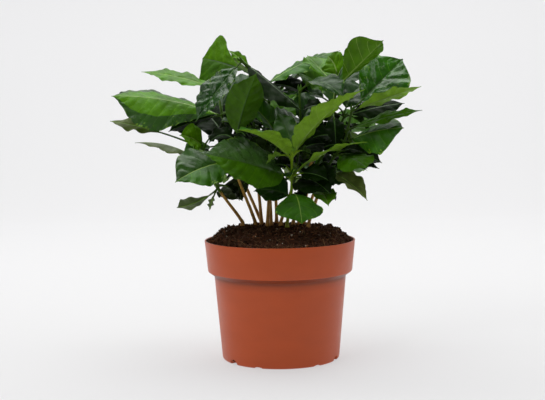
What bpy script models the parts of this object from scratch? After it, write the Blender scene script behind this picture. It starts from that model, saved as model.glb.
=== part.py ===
"""Potted coffee plant: seedlings with opposite glossy leaves in a filled nursery pot.

Metres, +Z up. The origin is the middle of the pot's flat underside; the viewer stands at -Y and +X is
to the viewer's right. Every stem stands on the soil, and each seedling's leaves are fused to its upper
stem into one mass that keeps clear of the others.
"""
import math
import random
from collections import namedtuple

import bmesh
import bpy
import numpy as np
from mathutils import Vector
from mathutils.bvhtree import BVHTree

# Pot and soil
POT_RIM_RADIUS = 0.060
POT_HEIGHT = 0.095
POT_BASE_RADIUS = 0.0468
POT_WALL = 0.0012
POT_FLOOR = 0.0016
POT_LIP_ROUND = 0.0005
COLLAR_FOOT_RADIUS = 0.0576
COLLAR_FOOT_HEIGHT = 0.0705
SHOULDER_RADIUS = 0.0526
SHOULDER_HEIGHT = 0.0669
BASE_ROUND = 0.0020
POT_SEGMENTS = 40

NOTCH_COUNT = 3
NOTCH_WIDTH = 0.009
NOTCH_HEIGHT = 0.004
NOTCH_AZIMUTH = -22.5       # degrees from +X of the first large notch
SMALL_NOTCH_WIDTH = 0.007
SMALL_NOTCH_HEIGHT = 0.0013
SMALL_NOTCH_OFFSET = 30.0   # degrees to either side of a large notch
NOTCH_DEPTH = 0.006

SOIL_RIM_LEVEL = 0.0938     # a little below the lip all round
SOIL_HEAP = 0.0085          # heaped above that towards the middle and the back
HEAP_EDGE = (0.046, 0.058)    # from this radius the heap falls off, to nothing at the next
HEAP_FRONT = (-0.045, 0.015)  # and between these depths it falls to a quarter towards the front
HEAP_FRONT_SHARE = 0.25
SOIL_LUMP = 0.0011
LUMP_WAVES = ((310, 270, 1.3, 0.5), (310, -270, 0.9, 0.5), (520, -380, 2.0, 0.6), (240, 610, 1.6, 0.5))
SOIL_RINGS = (0.010, 0.020, 0.030, 0.039, 0.046, 0.0515, 0.0555)
SOIL_SEGMENTS = 32

STEM_SIDES = 8
LEVEL_STEP = 0.0001         # the feet of the stems stand at whole steps of this height
MIN_SPAN = 0.001            # shortest step kept between two points of a cut stem

# Sizes that rule how the plant grows
STEM_RADIUS = 0.0014        # bare stem just above its foot
STEM_TIP_RADIUS = 0.0009    # stem at its growing tip
FOOT_FLARE = 0.0007         # widening of a stem where it enters the soil
FOOT_FLARE_HEIGHT = 0.006
BARE_BELOW_NODE = 0.004     # a bare stem ends this far below its lowest leaf pair
GAP = 0.0003                # clearance between neighbouring pieces

PETIOLE_RADIUS = 0.0009
BLADE_THICKNESS = 0.0011
BLADE_FOLD = 14.0           # degrees each half blade rises from the midrib
WAVE_HEIGHT = 0.0012        # undulation of the blade margins
WAVES_PER_BLADE = 3.2
LEAF_CLEARANCE = 0.0007     # least space kept between two leaves
STALK_CLEAR = 0.003         # part of a leaf stalk that may touch its own node
PAIR_STAGGER = 0.0006       # each next leaf of a node starts this much higher on the stem
NEAR_BEND = (0.30, 1.5)     # share of a leaf's chord, and of its bow, at the first bend of its midrib
FAR_BEND = (0.72, 1.1)
BLUNTNESS = 0.75            # below 1 the blade's base is round; DRIP_TIP draws its end out
DRIP_TIP = 0.9
BLADE_STATIONS = (0.0, 0.1, 0.26, 0.44, 0.62, 0.79, 0.92, 1.0)
MIDRIB_FIRST = (1, 4)       # strips of a leaf's section whose diagonals start at their first edge
STEPS_PER_SPAN = 4
SEED = 7
ADJUSTMENTS = [(0, 0, 0, 1.0)] + [
    (bearing, rise, turn, size) for size in (1.0, 0.88) for reach in (4, 8, 13)
    for bearing, rise, turn in ((0, reach, 0), (0, -reach, 0), (reach, 0, 0), (-reach, 0, 0),
                                (0, 0, 1.5 * reach), (0, 0, -1.5 * reach), (reach, reach, 0),
                                (-reach, reach, 0), (reach, -reach, 0), (-reach, -reach, 0))]

INNER_CENTRE = (0.008, 0.022, 0.163)    # middle and reach of the egg-shaped space of the inner leaves
INNER_REACH = (0.080, 0.055, 0.046)
INNER_COUNT = 23
INNER_TRIES = 5             # pairs tried at each node
INNER_LENGTH = (0.034, 0.054)
INNER_WIDTH = 0.62          # as a share of the length
INNER_RISE = (-32, 36)
INNER_TURN = (-50, 50)

Leaf = namedtuple("Leaf", "node bearing rise length width bow turn twist sweep fold stalk widest")
Seedling = namedtuple("Seedling", "name foot nodes leaves")


def mm(*values):
    return tuple(v / 1000.0 for v in values)


def leaf(node, bearing, rise, length, width, bow=6, turn=0, twist=0, sweep=0, fold=BLADE_FOLD,
         stalk=8, widest=0.47):
    """A leaf on stem node number `node`; degrees for the angles, millimetres for the lengths."""
    return Leaf(node, bearing, rise, length / 1000, width / 1000, bow / 1000, turn, twist, sweep / 1000,
                fold, stalk / 1000, widest)


SEEDLINGS = (
    Seedling("front", mm(6, 9), (mm(9, -2, 127), mm(10, -8, 144), mm(10, -13, 159), mm(11, -15, 165)), (
        leaf(0, -80, -18, 48, 38, 12, fold=-10, widest=0.7),
        leaf(0, 166, 10, 31, 27, 4, turn=-50, stalk=3, widest=0.42),
        leaf(1, -152, 16, 80, 49, 2, turn=-48, fold=4, widest=0.44),
        leaf(1, -11, 25, 66, 18, 7, turn=-10, fold=0),
        leaf(2, -134, 23, 64, 35, 5, turn=-5, stalk=6),
        leaf(2, -30, 40, 83, 34, 7, turn=-5, widest=0.4),
        leaf(3, 130, 58, 36, 19, 3, turn=-40, stalk=5),
    )),
    Seedling("left", mm(-30, 15), (mm(-49, 2, 136), mm(-55, 4, 148), mm(-60, 6, 167)), (
        leaf(0, -138, -17, 43, 14, -3, turn=-35, widest=0.68),
        leaf(0, -130, -56, 20, 6, 1),
        leaf(0, 58, -22, 38, 30, 5, turn=-38),
        leaf(1, -160, 23, 66, 15, 9, turn=0, fold=-42, stalk=10),
        leaf(2, 173, 17, 80, 18, 3, turn=-28, fold=0, stalk=38, widest=0.5),
        leaf(2, -133, 24, 28, 24, 3, turn=-68, stalk=3, widest=0.45),
    )),
    Seedling("middle_left", mm(-20, 22), (mm(-36, -6, 157), mm(-34, -6, 173)), (
        leaf(0, -141, -13, 57, 41, 4, turn=-39, fold=4),
        leaf(1, -55, 60, 62, 30, 3, turn=-20),
    )),
    Seedling("back_left", mm(-15.5, 48), (mm(-40, 36, 165), mm(-46, 25, 193), mm(-49, 34, 214)), (
        leaf(1, -166, 11, 91, 59, 5, turn=-37, fold=-25, stalk=4, widest=0.63),
        leaf(1, 178, -16, 46, 34, 2, turn=-35),
        leaf(2, 168, 14, 68, 22, 3, turn=-25, fold=0),
    )),
    Seedling("centre_left", mm(-15, 37), (mm(-20, 30, 172), mm(-21, 27, 226), mm(-29, 16, 237)), (
        leaf(2, -148, -48, 64, 29, 2, turn=-20, sweep=-2),
        leaf(1, 142, 16, 56, 46, 2, turn=-65, fold=0, widest=0.78),
        leaf(1, 150, 42, 30, 10, 2, turn=-30),
        leaf(2, -25, -38, 66, 31, 1, turn=10, fold=-25),
    )),
    Seedling("centre", mm(-10, 19), (mm(-6, 12, 150), mm(0, 12, 173)), (
        leaf(1, -150, 42, 42, 28, 3, turn=-50),
    )),
    Seedling("centre_right", mm(1, 17), (mm(12, 7, 142), mm(17, 4, 180), mm(17, 2, 212)), (
        leaf(0, -55, -12, 44, 40, 5, turn=30),
        leaf(2, -48, -7, 49, 26, 10, turn=15),
    )),
    Seedling("back", mm(-7, 27), (mm(-10, 44, 180), mm(-13, 45, 216)), (
        leaf(1, 0, 25, 71, 26, 4, turn=20, fold=-10),
    )),
    Seedling("top_right", mm(11, 18), (mm(28, 16, 160), mm(43, 4, 196), mm(46, 0, 215)), (
        leaf(1, -85, -52, 32, 15, 4),
        leaf(2, -40, 38, 57, 36, 0, turn=-25, fold=32, widest=0.6),
        leaf(2, 132, 38, 42, 38, 0),
    )),
    Seedling("right", mm(23, 8), (
        mm(31, 6, 130), mm(37, 4, 148), mm(44, 5, 160), mm(52, 7, 171), mm(55, 6, 181), mm(58, 3, 196)), (
        leaf(0, -78, -11, 34, 20, 5, turn=5),
        leaf(1, -44, -23, 46, 22, 4, turn=15, fold=20, widest=0.38),
        leaf(2, -56, -10, 43, 32, 4, turn=20, fold=-10, widest=0.55),
        leaf(3, -31, 13, 54, 43, 3, turn=40, fold=-20, widest=0.55),
        leaf(4, -28, 14, 65, 18, 2, turn=30, fold=0),
        leaf(5, -26, 18, 61, 20, 1, turn=-22, fold=5),
        leaf(5, 16, 43, 60, 49, 0, turn=45, fold=8, stalk=12, widest=0.58),
    )),
    Seedling("far_right", mm(16, 30), (mm(30, 26, 150), mm(44, 25, 172), mm(53, 21, 191)), (
        leaf(2, 13, 12, 53, 24, 2, turn=40, fold=-10),
    )),
    Seedling("rear", mm(-2.5, 44), (mm(-4, 62, 148), mm(-8, 72, 176), mm(-8, 76, 203)), ()),
    Seedling("rear_right", mm(20, 34), (mm(34, 48, 142), mm(41, 58, 172), mm(44, 64, 202)), ()),
)

BEHIND = {
    "rear_right": (leaf(1, 50, 10, 72, 33, turn=30), leaf(2, 35, 42, 70, 30, turn=30),
                   leaf(0, 18, 12, 46, 32, turn=30), leaf(2, 160, 18, 52, 24, turn=-30),
                   leaf(0, 165, 30, 56, 26, turn=-30), leaf(2, -165, 38, 44, 32, turn=-45)),
    "top_right": (leaf(1, 75, 45, 60, 30, turn=-30), leaf(0, -3, 12, 32, 24, turn=70),
                  leaf(2, 120, 62, 27, 22, turn=-60)),
    "rear": (leaf(0, 140, 18, 72, 33, turn=-30), leaf(1, 60, 45, 72, 32, turn=30),
             leaf(2, 135, 15, 66, 30, turn=-30), leaf(0, 8, -10, 60, 34, turn=45),
             leaf(2, 15, 30, 64, 28), leaf(1, 180, 15, 50, 24, turn=-30)),
    "back_left": (leaf(0, 120, 30, 74, 33, turn=-30), leaf(1, 90, 30, 62, 28, turn=-30),
                  leaf(0, -168, -12, 40, 26, turn=-30, stalk=16)),
    "back": (leaf(0, 135, 30, 68, 30, turn=-30), leaf(1, 120, 15, 66, 30, turn=30),
             leaf(0, -20, -20, 60, 34, turn=30), leaf(1, 5, -8, 44, 26, turn=30)),
    "middle_left": (leaf(1, 170, -4, 22, 16, turn=-40, stalk=3),),
    "centre_left": (leaf(0, 135, -15, 64, 30, turn=-30),),
    "left": (leaf(1, 90, -15, 60, 28, turn=30),),
    "centre_right": (leaf(0, -150, -15, 46, 22, turn=-30), leaf(0, 90, 0, 56, 26, turn=30),
                     leaf(1, 62, 36, 44, 30, turn=40), leaf(0, 130, -45, 28, 20, turn=-30)),
    "centre": (leaf(1, 70, 20, 50, 30, turn=30), leaf(0, 35, -8, 44, 28, turn=30)),
    "far_right": (leaf(0, 40, -6, 30, 24, turn=30), leaf(2, 60, 35, 44, 34, turn=30)),
}


def unit(vector):
    return vector / np.linalg.norm(vector)


def blade_profile(u, widest):
    """Half-width of a blade as a share of its widest, from blade base (u = 0) to drip tip (u = 1)."""
    return np.sin(math.pi * u ** (math.log(0.5) / math.log(widest))) ** (BLUNTNESS + DRIP_TIP * u ** 3)


def leaf_frame(root, leaf, stations):
    """Points of the midrib at the given shares of the leaf's length, with side and up directions."""
    bearing, rise = math.radians(leaf.bearing), math.radians(leaf.rise)
    chord = leaf.length * np.array((math.cos(rise) * math.cos(bearing),
                                    math.cos(rise) * math.sin(bearing), math.sin(rise)))
    along = unit(chord)
    up = unit(np.array((0.0, 0.0, 1.0)) - along[2] * along)
    side = np.cross(along, up)
    lift = leaf.bow * up + leaf.sweep * side
    (near, near_lift), (far, far_lift) = NEAR_BEND, FAR_BEND
    p0, p3 = root, root + chord
    p1, p2 = root + near * chord + near_lift * lift, root + far * chord + far_lift * lift
    t = np.asarray(stations)[:, None]
    points = (1 - t) ** 3 * p0 + 3 * (1 - t) ** 2 * t * p1 + 3 * (1 - t) * t ** 2 * p2 + t ** 3 * p3
    tangents = (1 - t) ** 2 * (p1 - p0) + 2 * (1 - t) * t * (p2 - p1) + t ** 2 * (p3 - p2)
    tangents /= np.linalg.norm(tangents, axis=1)[:, None]
    normals = up - (tangents @ up)[:, None] * tangents
    normals /= np.linalg.norm(normals, axis=1)[:, None]
    sides = np.cross(tangents, normals)
    roll = np.radians(leaf.turn + leaf.twist * (t - 0.5))
    rolled_sides = sides * np.cos(roll) - normals * np.sin(roll)
    return points, rolled_sides, normals * np.cos(roll) + sides * np.sin(roll)


def leaf_section(root, leaf, stations, phase):
    """Midrib points, left and right margin points and blade normals of a leaf at the given stations."""
    points, sides, normals = leaf_frame(root, leaf, stations)
    stalk = leaf.stalk / leaf.length
    u = np.clip((np.asarray(stations) - stalk) / (1 - stalk), 0, 1)
    shape = blade_profile(u, leaf.widest)
    half = np.maximum(leaf.width / 2 * shape, PETIOLE_RADIUS)[:, None]
    fold = math.radians(leaf.fold)
    margins = []
    for hand in (-1, 1):
        wave = WAVE_HEIGHT * shape * np.sin(math.tau * WAVES_PER_BLADE * u + phase + hand)
        margins.append(points + half * (hand * math.cos(fold) * sides + math.sin(fold) * normals)
                       + wave[:, None] * normals)
    return points, margins[0], margins[1], normals


def leaf_body(root, leaf, phase, start=0.0, extra=0.0):
    """Vertices and faces of a leaf as one closed body; `extra` is added all round it."""
    stalk = leaf.stalk / leaf.length
    stations = [start] + [stalk + (1 - stalk) * u for u in BLADE_STATIONS]
    middle, left, right, normals = leaf_section(root, leaf, stations, phase)
    across = (right - left) / np.linalg.norm(right - left, axis=1)[:, None]
    half = BLADE_THICKNESS / 2 + extra / 2
    rows = []
    for line in (left - extra * across, middle, right + extra * across):
        rows.append(line + half * normals)
    for line in (right + extra * across, middle, left - extra * across):
        rows.append(line - half * normals)
    vertices = np.stack(rows, axis=1).reshape(-1, 3)
    count, ring = len(stations), len(rows)
    faces = []
    for i in range(count - 1):
        for k in range(ring):
            a, b = i * ring + k, i * ring + (k + 1) % ring
            if k in MIDRIB_FIRST:
                faces += [(a, b, b + ring), (a, b + ring, a + ring)]
            else:
                faces += [(a, b, a + ring), (b, b + ring, a + ring)]
    for first in (0, (count - 1) * ring):
        faces += [(first, first + 1, first + 4, first + 5), (first + 1, first + 2, first + 3, first + 4)]
    return vertices, faces


def stem_path(seedling, soil_level):
    """Points up the axis of a stem, from its upright foot through its nodes, on a smooth curve."""
    foot = np.array((*seedling.foot, soil_level))
    knots = [foot, foot + (0, 0, FOOT_FLARE_HEIGHT / 2)] + [np.array(node) for node in seedling.nodes]
    path = [knots[0]]
    for i in range(1, len(knots) - 1):
        before, here, after = knots[i - 1], knots[i], knots[i + 1]
        beyond = knots[i + 2] if i + 2 < len(knots) else 2 * after - here
        span = np.linalg.norm(after - here)
        slope_here = span * unit(after - before)
        slope_after = span * unit(beyond - here)
        for t in np.arange(1, STEPS_PER_SPAN + 1) / STEPS_PER_SPAN:
            path.append((2 * t ** 3 - 3 * t ** 2 + 1) * here + (t ** 3 - 2 * t ** 2 + t) * slope_here
                        + (3 * t ** 2 - 2 * t ** 3) * after + (t ** 3 - t ** 2) * slope_after)
    path.insert(1, knots[1])
    return np.array(path)


def radius_at(height_above_soil, full_height):
    taper = STEM_RADIUS + (STEM_TIP_RADIUS - STEM_RADIUS) * height_above_soil / full_height
    return taper + FOOT_FLARE * max(0.0, 1 - height_above_soil / FOOT_FLARE_HEIGHT) ** 2


def tube_polygons(points, radius, sides=6):
    """A plain tube round a path, used to keep leaves clear of stems."""
    vertices, faces = [], []
    for i, point in enumerate(points):
        along = unit(points[min(i + 1, len(points) - 1)] - points[max(i - 1, 0)])
        a = unit(np.cross(along, (0.3, 1.0, 0.1)))
        b = np.cross(along, a)
        for k in range(sides):
            angle = math.tau * k / sides
            vertices.append(point + radius * (math.cos(angle) * a + math.sin(angle) * b))
    for i in range(len(points) - 1):
        for k in range(sides):
            p, q = i * sides + k, i * sides + (k + 1) % sides
            faces.append((p, q, q + sides, p + sides))
    return vertices, faces


def tree(vertices, faces):
    return BVHTree.FromPolygons([tuple(v) for v in vertices], faces)


def inner_leaves():
    """Opposite leaves at every node of every stem, in a seeded order, to fill the middle of the crown."""
    rng = random.Random(SEED + 1)
    spots = [(seedling, n) for seedling in SEEDLINGS for n in range(len(seedling.nodes))] * INNER_TRIES
    rng.shuffle(spots)
    for seedling, n in spots:
        bearing = rng.uniform(0, 360)
        for across in (0, 180):
            length = 1000 * rng.uniform(*INNER_LENGTH)
            yield seedling, leaf(n, bearing + across, rng.uniform(*INNER_RISE), length, INNER_WIDTH * length,
                                 bow=4, turn=rng.uniform(*INNER_TURN))


def in_inner_space(root, leaf, phase):
    middle, left, right, _ = leaf_section(root, leaf, (0.3, 0.6, 0.85, 1.0), phase)
    reach = (np.vstack((middle, left, right)) - INNER_CENTRE) / INNER_REACH
    return bool(np.all(np.sum(reach ** 2, axis=1) < 1))


def grow(stem_paths):
    """Place every leaf in turn; one that meets a stem or an earlier leaf turns aside or is left out.

    An inner leaf is also left out where it would leave its space. Each placed leaf is told as its seedling,
    its root, the leaf as it grew, the phase of its waves and its number among the wanted leaves.
    """
    rng = random.Random(SEED)
    stems = {name: tree(*tube_polygons(path, STEM_RADIUS + LEAF_CLEARANCE))
             for name, path in stem_paths.items()}
    wanted = [(s, leaf) for s in SEEDLINGS for leaf in s.leaves]
    wanted += [(s, leaf) for s in SEEDLINGS for leaf in BEHIND.get(s.name, ())]
    outer = len(wanted)
    wanted += inner_leaves()
    placed = []
    for number, (seedling, leaf) in enumerate(wanted):
        if sum(entry[6] >= outer for entry in placed) == INNER_COUNT:
            break
        before = sum(entry[0] is seedling and entry[2].node == leaf.node for entry in placed)
        root = np.array(seedling.nodes[leaf.node]) + (0, 0, PAIR_STAGGER * before)
        phase = rng.uniform(0, math.tau)
        for bearing, rise, turn, size in ADJUSTMENTS:
            trial = leaf._replace(bearing=leaf.bearing + bearing, rise=leaf.rise + rise,
                                  turn=leaf.turn + turn, length=leaf.length * size,
                                  width=leaf.width * size)
            if number >= outer and not in_inner_space(root, trial, phase):
                continue
            whole = tree(*leaf_body(root, trial, phase, STALK_CLEAR / trial.length, LEAF_CLEARANCE))
            blade = tree(*leaf_body(root, trial, phase, 0.9 * trial.stalk / trial.length, LEAF_CLEARANCE))
            clear = all(not (blade if name == seedling.name else whole).overlap(stem)
                        for name, stem in stems.items())
            for other, _, other_leaf, _, other_whole, other_blade, _ in placed:
                if not clear:
                    break
                sibling = other is seedling and other_leaf.node == leaf.node
                clear = not (blade.overlap(other_blade) if sibling else whole.overlap(other_whole))
            if clear:
                placed.append((seedling, root, trial, phase, whole, blade, number))
                break
    return [(*entry[:4], entry[6]) for entry in placed]


def material(name, colour, roughness):
    made = bpy.data.materials.new(name)
    made.use_nodes = True
    shader = made.node_tree.nodes["Principled BSDF"]
    shader.inputs["Base Color"].default_value = (*colour, 1.0)
    shader.inputs["Roughness"].default_value = roughness
    made.diffuse_color = (*colour, 1.0)
    return made


def collection(name, hidden=False):
    made = bpy.data.collections.new(name)
    bpy.context.scene.collection.children.link(made)
    made.hide_render = hidden
    return made


def body(name, vertices, faces, home, slot=None):
    mesh = bpy.data.meshes.new(name)
    mesh.from_pydata([tuple(v) for v in vertices], [], faces)
    made = bpy.data.objects.new(name, mesh)
    home.objects.link(made)
    if slot:
        mesh.materials.append(slot)
    return made


def settle(made):
    """Replace an object's mesh by what its modifiers make of it."""
    graph = bpy.context.evaluated_depsgraph_get()
    mesh = bpy.data.meshes.new_from_object(made.evaluated_get(graph), depsgraph=graph)
    made.modifiers.clear()
    made.data = mesh
    return mesh


def face_outward(mesh, merge=1e-6):
    work = bmesh.new()
    work.from_mesh(mesh)
    bmesh.ops.remove_doubles(work, verts=work.verts, dist=merge)
    bmesh.ops.recalc_face_normals(work, faces=work.faces)
    work.to_mesh(mesh)
    work.free()


def turned(name, profile, segments, home, slot):
    """Revolve an open or closed profile of (radius, height) points about Z."""
    made = body(name, [(r, 0.0, z) for r, z in profile], [], home, slot)
    made.data.edges.add(len(profile) - 1)
    for i, edge in enumerate(made.data.edges):
        edge.vertices = (i, i + 1)
    screw = made.modifiers.new("Turn", "SCREW")
    screw.steps = screw.render_steps = segments
    screw.use_merge_vertices = True
    screw.merge_threshold = 0.00002
    screw.use_smooth_shade = True
    return made


def make_pot(home, cutters, slot):
    lip = POT_LIP_ROUND
    profile = [(0.0, POT_FLOOR), (POT_BASE_RADIUS - BASE_ROUND - POT_WALL / 2, POT_FLOOR),
               (POT_BASE_RADIUS - POT_WALL, POT_FLOOR + BASE_ROUND / 2),
               (SHOULDER_RADIUS - POT_WALL, SHOULDER_HEIGHT + POT_WALL / 2),
               (COLLAR_FOOT_RADIUS - POT_WALL, COLLAR_FOOT_HEIGHT + POT_WALL / 2),
               (POT_RIM_RADIUS - POT_WALL, POT_HEIGHT - lip), (POT_RIM_RADIUS - POT_WALL + lip, POT_HEIGHT),
               (POT_RIM_RADIUS - lip, POT_HEIGHT), (POT_RIM_RADIUS, POT_HEIGHT - lip),
               (COLLAR_FOOT_RADIUS, COLLAR_FOOT_HEIGHT), (SHOULDER_RADIUS, SHOULDER_HEIGHT),
               (POT_BASE_RADIUS, BASE_ROUND), (POT_BASE_RADIUS - 0.3 * BASE_ROUND, 0.3 * BASE_ROUND),
               (POT_BASE_RADIUS - BASE_ROUND, 0.0), (0.0, 0.0)]
    pot = turned("pot", profile, POT_SEGMENTS, home, slot)
    for n in range(NOTCH_COUNT):
        azimuth = NOTCH_AZIMUTH + 360.0 * n / NOTCH_COUNT
        notch(cutters, f"notch_{n}", azimuth, NOTCH_WIDTH, NOTCH_HEIGHT)
        for hand in (-1, 1):
            notch(cutters, f"notch_{n}_{hand + 1}", azimuth + hand * SMALL_NOTCH_OFFSET,
                  SMALL_NOTCH_WIDTH, SMALL_NOTCH_HEIGHT)
    settle(pot)
    face_outward(pot.data)
    cut = pot.modifiers.new("Notches", "BOOLEAN")
    cut.operation = "DIFFERENCE"
    cut.solver = "EXACT"
    cut.operand_type = "COLLECTION"
    cut.collection = cutters
    return pot


def notch(cutters, name, azimuth, width, height):
    """A round-topped drain notch through the foot of the pot's wall."""
    angle = math.radians(azimuth)
    bpy.ops.mesh.primitive_cylinder_add(vertices=24, radius=0.5, depth=1.0, end_fill_type="NGON")
    cutter = bpy.context.object
    cutter.name = name
    cutter.scale = (2 * height, width, 2 * NOTCH_DEPTH)
    cutter.rotation_euler = (0.0, math.radians(90), angle)
    reach = POT_BASE_RADIUS
    cutter.location = (reach * math.cos(angle), reach * math.sin(angle), 0.0)
    for other in cutter.users_collection:
        other.objects.unlink(cutter)
    cutters.objects.link(cutter)
    cutter.display_type = "WIRE"
    cutter.hide_render = True


def smooth_step(low, high, value):
    t = min(1.0, max(0.0, (value - low) / (high - low)))
    return t * t * (3 - 2 * t)


def soil_height(x, y):
    """Level of the loose soil: a rough heap that slopes down to the front lip."""
    back = HEAP_FRONT_SHARE + (1 - HEAP_FRONT_SHARE) * smooth_step(*HEAP_FRONT, y)
    heap = back * (1 - smooth_step(*HEAP_EDGE, math.hypot(x, y)))
    lumps = sum(share * math.sin(a * x + b * y + phase) for a, b, phase, share in LUMP_WAVES)
    return SOIL_RIM_LEVEL + SOIL_HEAP * heap + SOIL_LUMP * lumps * min(1.0, 4 * heap)


def make_soil(home, slot):
    inner = POT_WALL + GAP
    base = [(0.0, POT_FLOOR + GAP), (POT_BASE_RADIUS - BASE_ROUND - POT_WALL / 2 - GAP, POT_FLOOR + GAP),
            (POT_BASE_RADIUS - inner, POT_FLOOR + BASE_ROUND / 2 + GAP),
            (SHOULDER_RADIUS - inner, SHOULDER_HEIGHT + POT_WALL / 2),
            (COLLAR_FOOT_RADIUS - inner, COLLAR_FOOT_HEIGHT + POT_WALL / 2 + GAP),
            (POT_RIM_RADIUS - inner - 0.0001, SOIL_RIM_LEVEL)]
    crown = [(r, SOIL_RIM_LEVEL) for r in reversed(SOIL_RINGS)] + [(0.0, SOIL_RIM_LEVEL)]
    soil = turned("soil", base + crown, SOIL_SEGMENTS, home, slot)
    mesh = settle(soil)
    for vertex in mesh.vertices:
        x, y, z = vertex.co
        if z > SOIL_RIM_LEVEL - GAP and math.hypot(x, y) < SOIL_RINGS[-1] + GAP:
            vertex.co.z = soil_height(x, y)
    face_outward(mesh)
    return soil


def soil_top(soil, x, y, reach):
    """Highest soil under a foot of the given radius."""
    levels = []
    for dx, dy in [(0.0, 0.0)] + [(math.cos(a), math.sin(a)) for a in np.linspace(0, math.tau, 13)]:
        hit, place, _, _ = soil.ray_cast(Vector((x + reach * dx, y + reach * dy, 1.0)), Vector((0, 0, -1)))
        if hit:
            levels.append(place.z)
    return max(levels)


def stem_body(name, points, radii, home, slot):
    """A round tapering stem with flat ends, from a bevelled curve."""
    curve = bpy.data.curves.new(name, "CURVE")
    curve.dimensions = "3D"
    curve.bevel_depth = 1.0
    curve.bevel_resolution = STEM_SIDES // 2 - 2
    curve.use_fill_caps = True
    line = curve.splines.new("POLY")
    line.points.add(len(points) - 1)
    for knot, point, radius in zip(line.points, points, radii):
        knot.co = (*point, 1.0)
        knot.radius = radius
    drawn = bpy.data.objects.new(name + "_line", curve)
    home.objects.link(drawn)
    graph = bpy.context.evaluated_depsgraph_get()
    mesh = bpy.data.meshes.new_from_object(drawn.evaluated_get(graph), depsgraph=graph)
    bpy.data.objects.remove(drawn)
    face_outward(mesh, merge=1e-5)
    mesh.name = name
    mesh.materials.clear()
    mesh.materials.append(slot)
    made = bpy.data.objects.new(name, mesh)
    home.objects.link(made)
    return made


def split_path(path, mark, short_by):
    """Cut a path `short_by` below the point at index `mark`; both parts are returned, GAP apart."""
    lengths = np.concatenate(([0.0], np.cumsum(np.linalg.norm(np.diff(path, axis=0), axis=1))))
    cut = lengths[mark] - short_by

    def at(distance):
        return np.array([np.interp(distance, lengths, path[:, k]) for k in range(3)])

    near = [p for p, d in zip(path, lengths) if d < cut - MIN_SPAN] + [at(cut)]
    far = [at(cut + GAP)] + [p for p, d in zip(path, lengths) if d > cut + GAP + MIN_SPAN]
    return np.array(near), np.array(far)


def join_mass(name, core, leaves, home, slot):
    """Fuse a seedling's leaves with its upper stem into one closed body."""
    parts = collection(name + "_parts", hidden=True)
    for i, (root, leaf, phase) in enumerate(leaves):
        vertices, faces = leaf_body(root, leaf, phase)
        blade = body(f"{name}_leaf_{i}", vertices, faces, parts)
        face_outward(blade.data)
    join = core.modifiers.new("Leaves", "BOOLEAN")
    join.operation = "UNION"
    join.solver = "EXACT"
    join.operand_type = "COLLECTION"
    join.collection = parts
    mesh = settle(core)
    for blade in list(parts.objects):
        bpy.data.objects.remove(blade)
    bpy.data.collections.remove(parts)
    mesh.materials.clear()
    mesh.materials.append(slot)
    face_outward(mesh)
    keep_largest(mesh)


def keep_largest(mesh):
    """Drop loose scraps and sealed hollows left by the fusing."""
    work = bmesh.new()
    work.from_mesh(mesh)
    groups, seen = [], set()
    for first in work.verts:
        if first in seen:
            continue
        group, queue = [], [first]
        seen.add(first)
        while queue:
            vertex = queue.pop()
            group.append(vertex)
            for edge in vertex.link_edges:
                other = edge.other_vert(vertex)
                if other not in seen:
                    seen.add(other)
                    queue.append(other)
        groups.append(group)
    groups.sort(key=len)
    bmesh.ops.delete(work, geom=[v for group in groups[:-1] for v in group], context="VERTS")
    work.to_mesh(mesh)
    work.free()


def main():
    for old in list(bpy.data.objects):
        bpy.data.objects.remove(old)
    plant = collection("potted_plant")
    cutters = collection("cutters", hidden=True)
    clay = material("pot_plastic", (0.283, 0.058, 0.021), 0.45)
    earth = material("soil_peat", (0.018, 0.009, 0.006), 0.95)
    bark = material("stem_bark", (0.145, 0.105, 0.036), 0.7)
    green = material("leaf_green", (0.045, 0.120, 0.018), 0.35)

    make_pot(plant, cutters, clay)
    soil = make_soil(plant, earth)

    paths = {}
    for seedling in SEEDLINGS:
        level = soil_top(soil, *seedling.foot, STEM_RADIUS + FOOT_FLARE) + GAP
        level = math.ceil(level / LEVEL_STEP) * LEVEL_STEP
        paths[seedling.name] = stem_path(seedling, level)
    grown = grow(paths)

    for number, seedling in enumerate(SEEDLINGS, 1):
        path = paths[seedling.name]
        first = int(np.argmin(np.linalg.norm(path - np.array(seedling.nodes[0]), axis=1)))
        near, far = split_path(path, first, BARE_BELOW_NODE)
        tall = path[-1][2] - path[0][2]
        for name, points in ((f"stem_{number}", near), (f"foliage_{number}", far)):
            radii = [radius_at(point[2] - path[0][2], tall) for point in points]
            made = stem_body(name, points, radii, plant, bark)
            if name.startswith("foliage"):
                leaves = [entry[1:4] for entry in grown if entry[0] is seedling]
                join_mass(name, made, leaves, plant, green)


main()
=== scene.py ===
"""Looks of the potted coffee plant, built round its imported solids.

Metres, +Z up, in the solids' own frame: the origin is the middle of the pot's underside and the viewer
stands at -Y. The leaves grow again by the rule that placed the solids' leaves, this time as thin quilted
blades with ribs, side veins and drip tips, on stalks that spring from knuckled shoots.
"""
import math
import random
from collections import namedtuple

import bmesh
import bpy
import numpy as np
from mathutils import Matrix, Vector, noise
from mathutils.bvhtree import BVHTree

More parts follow.
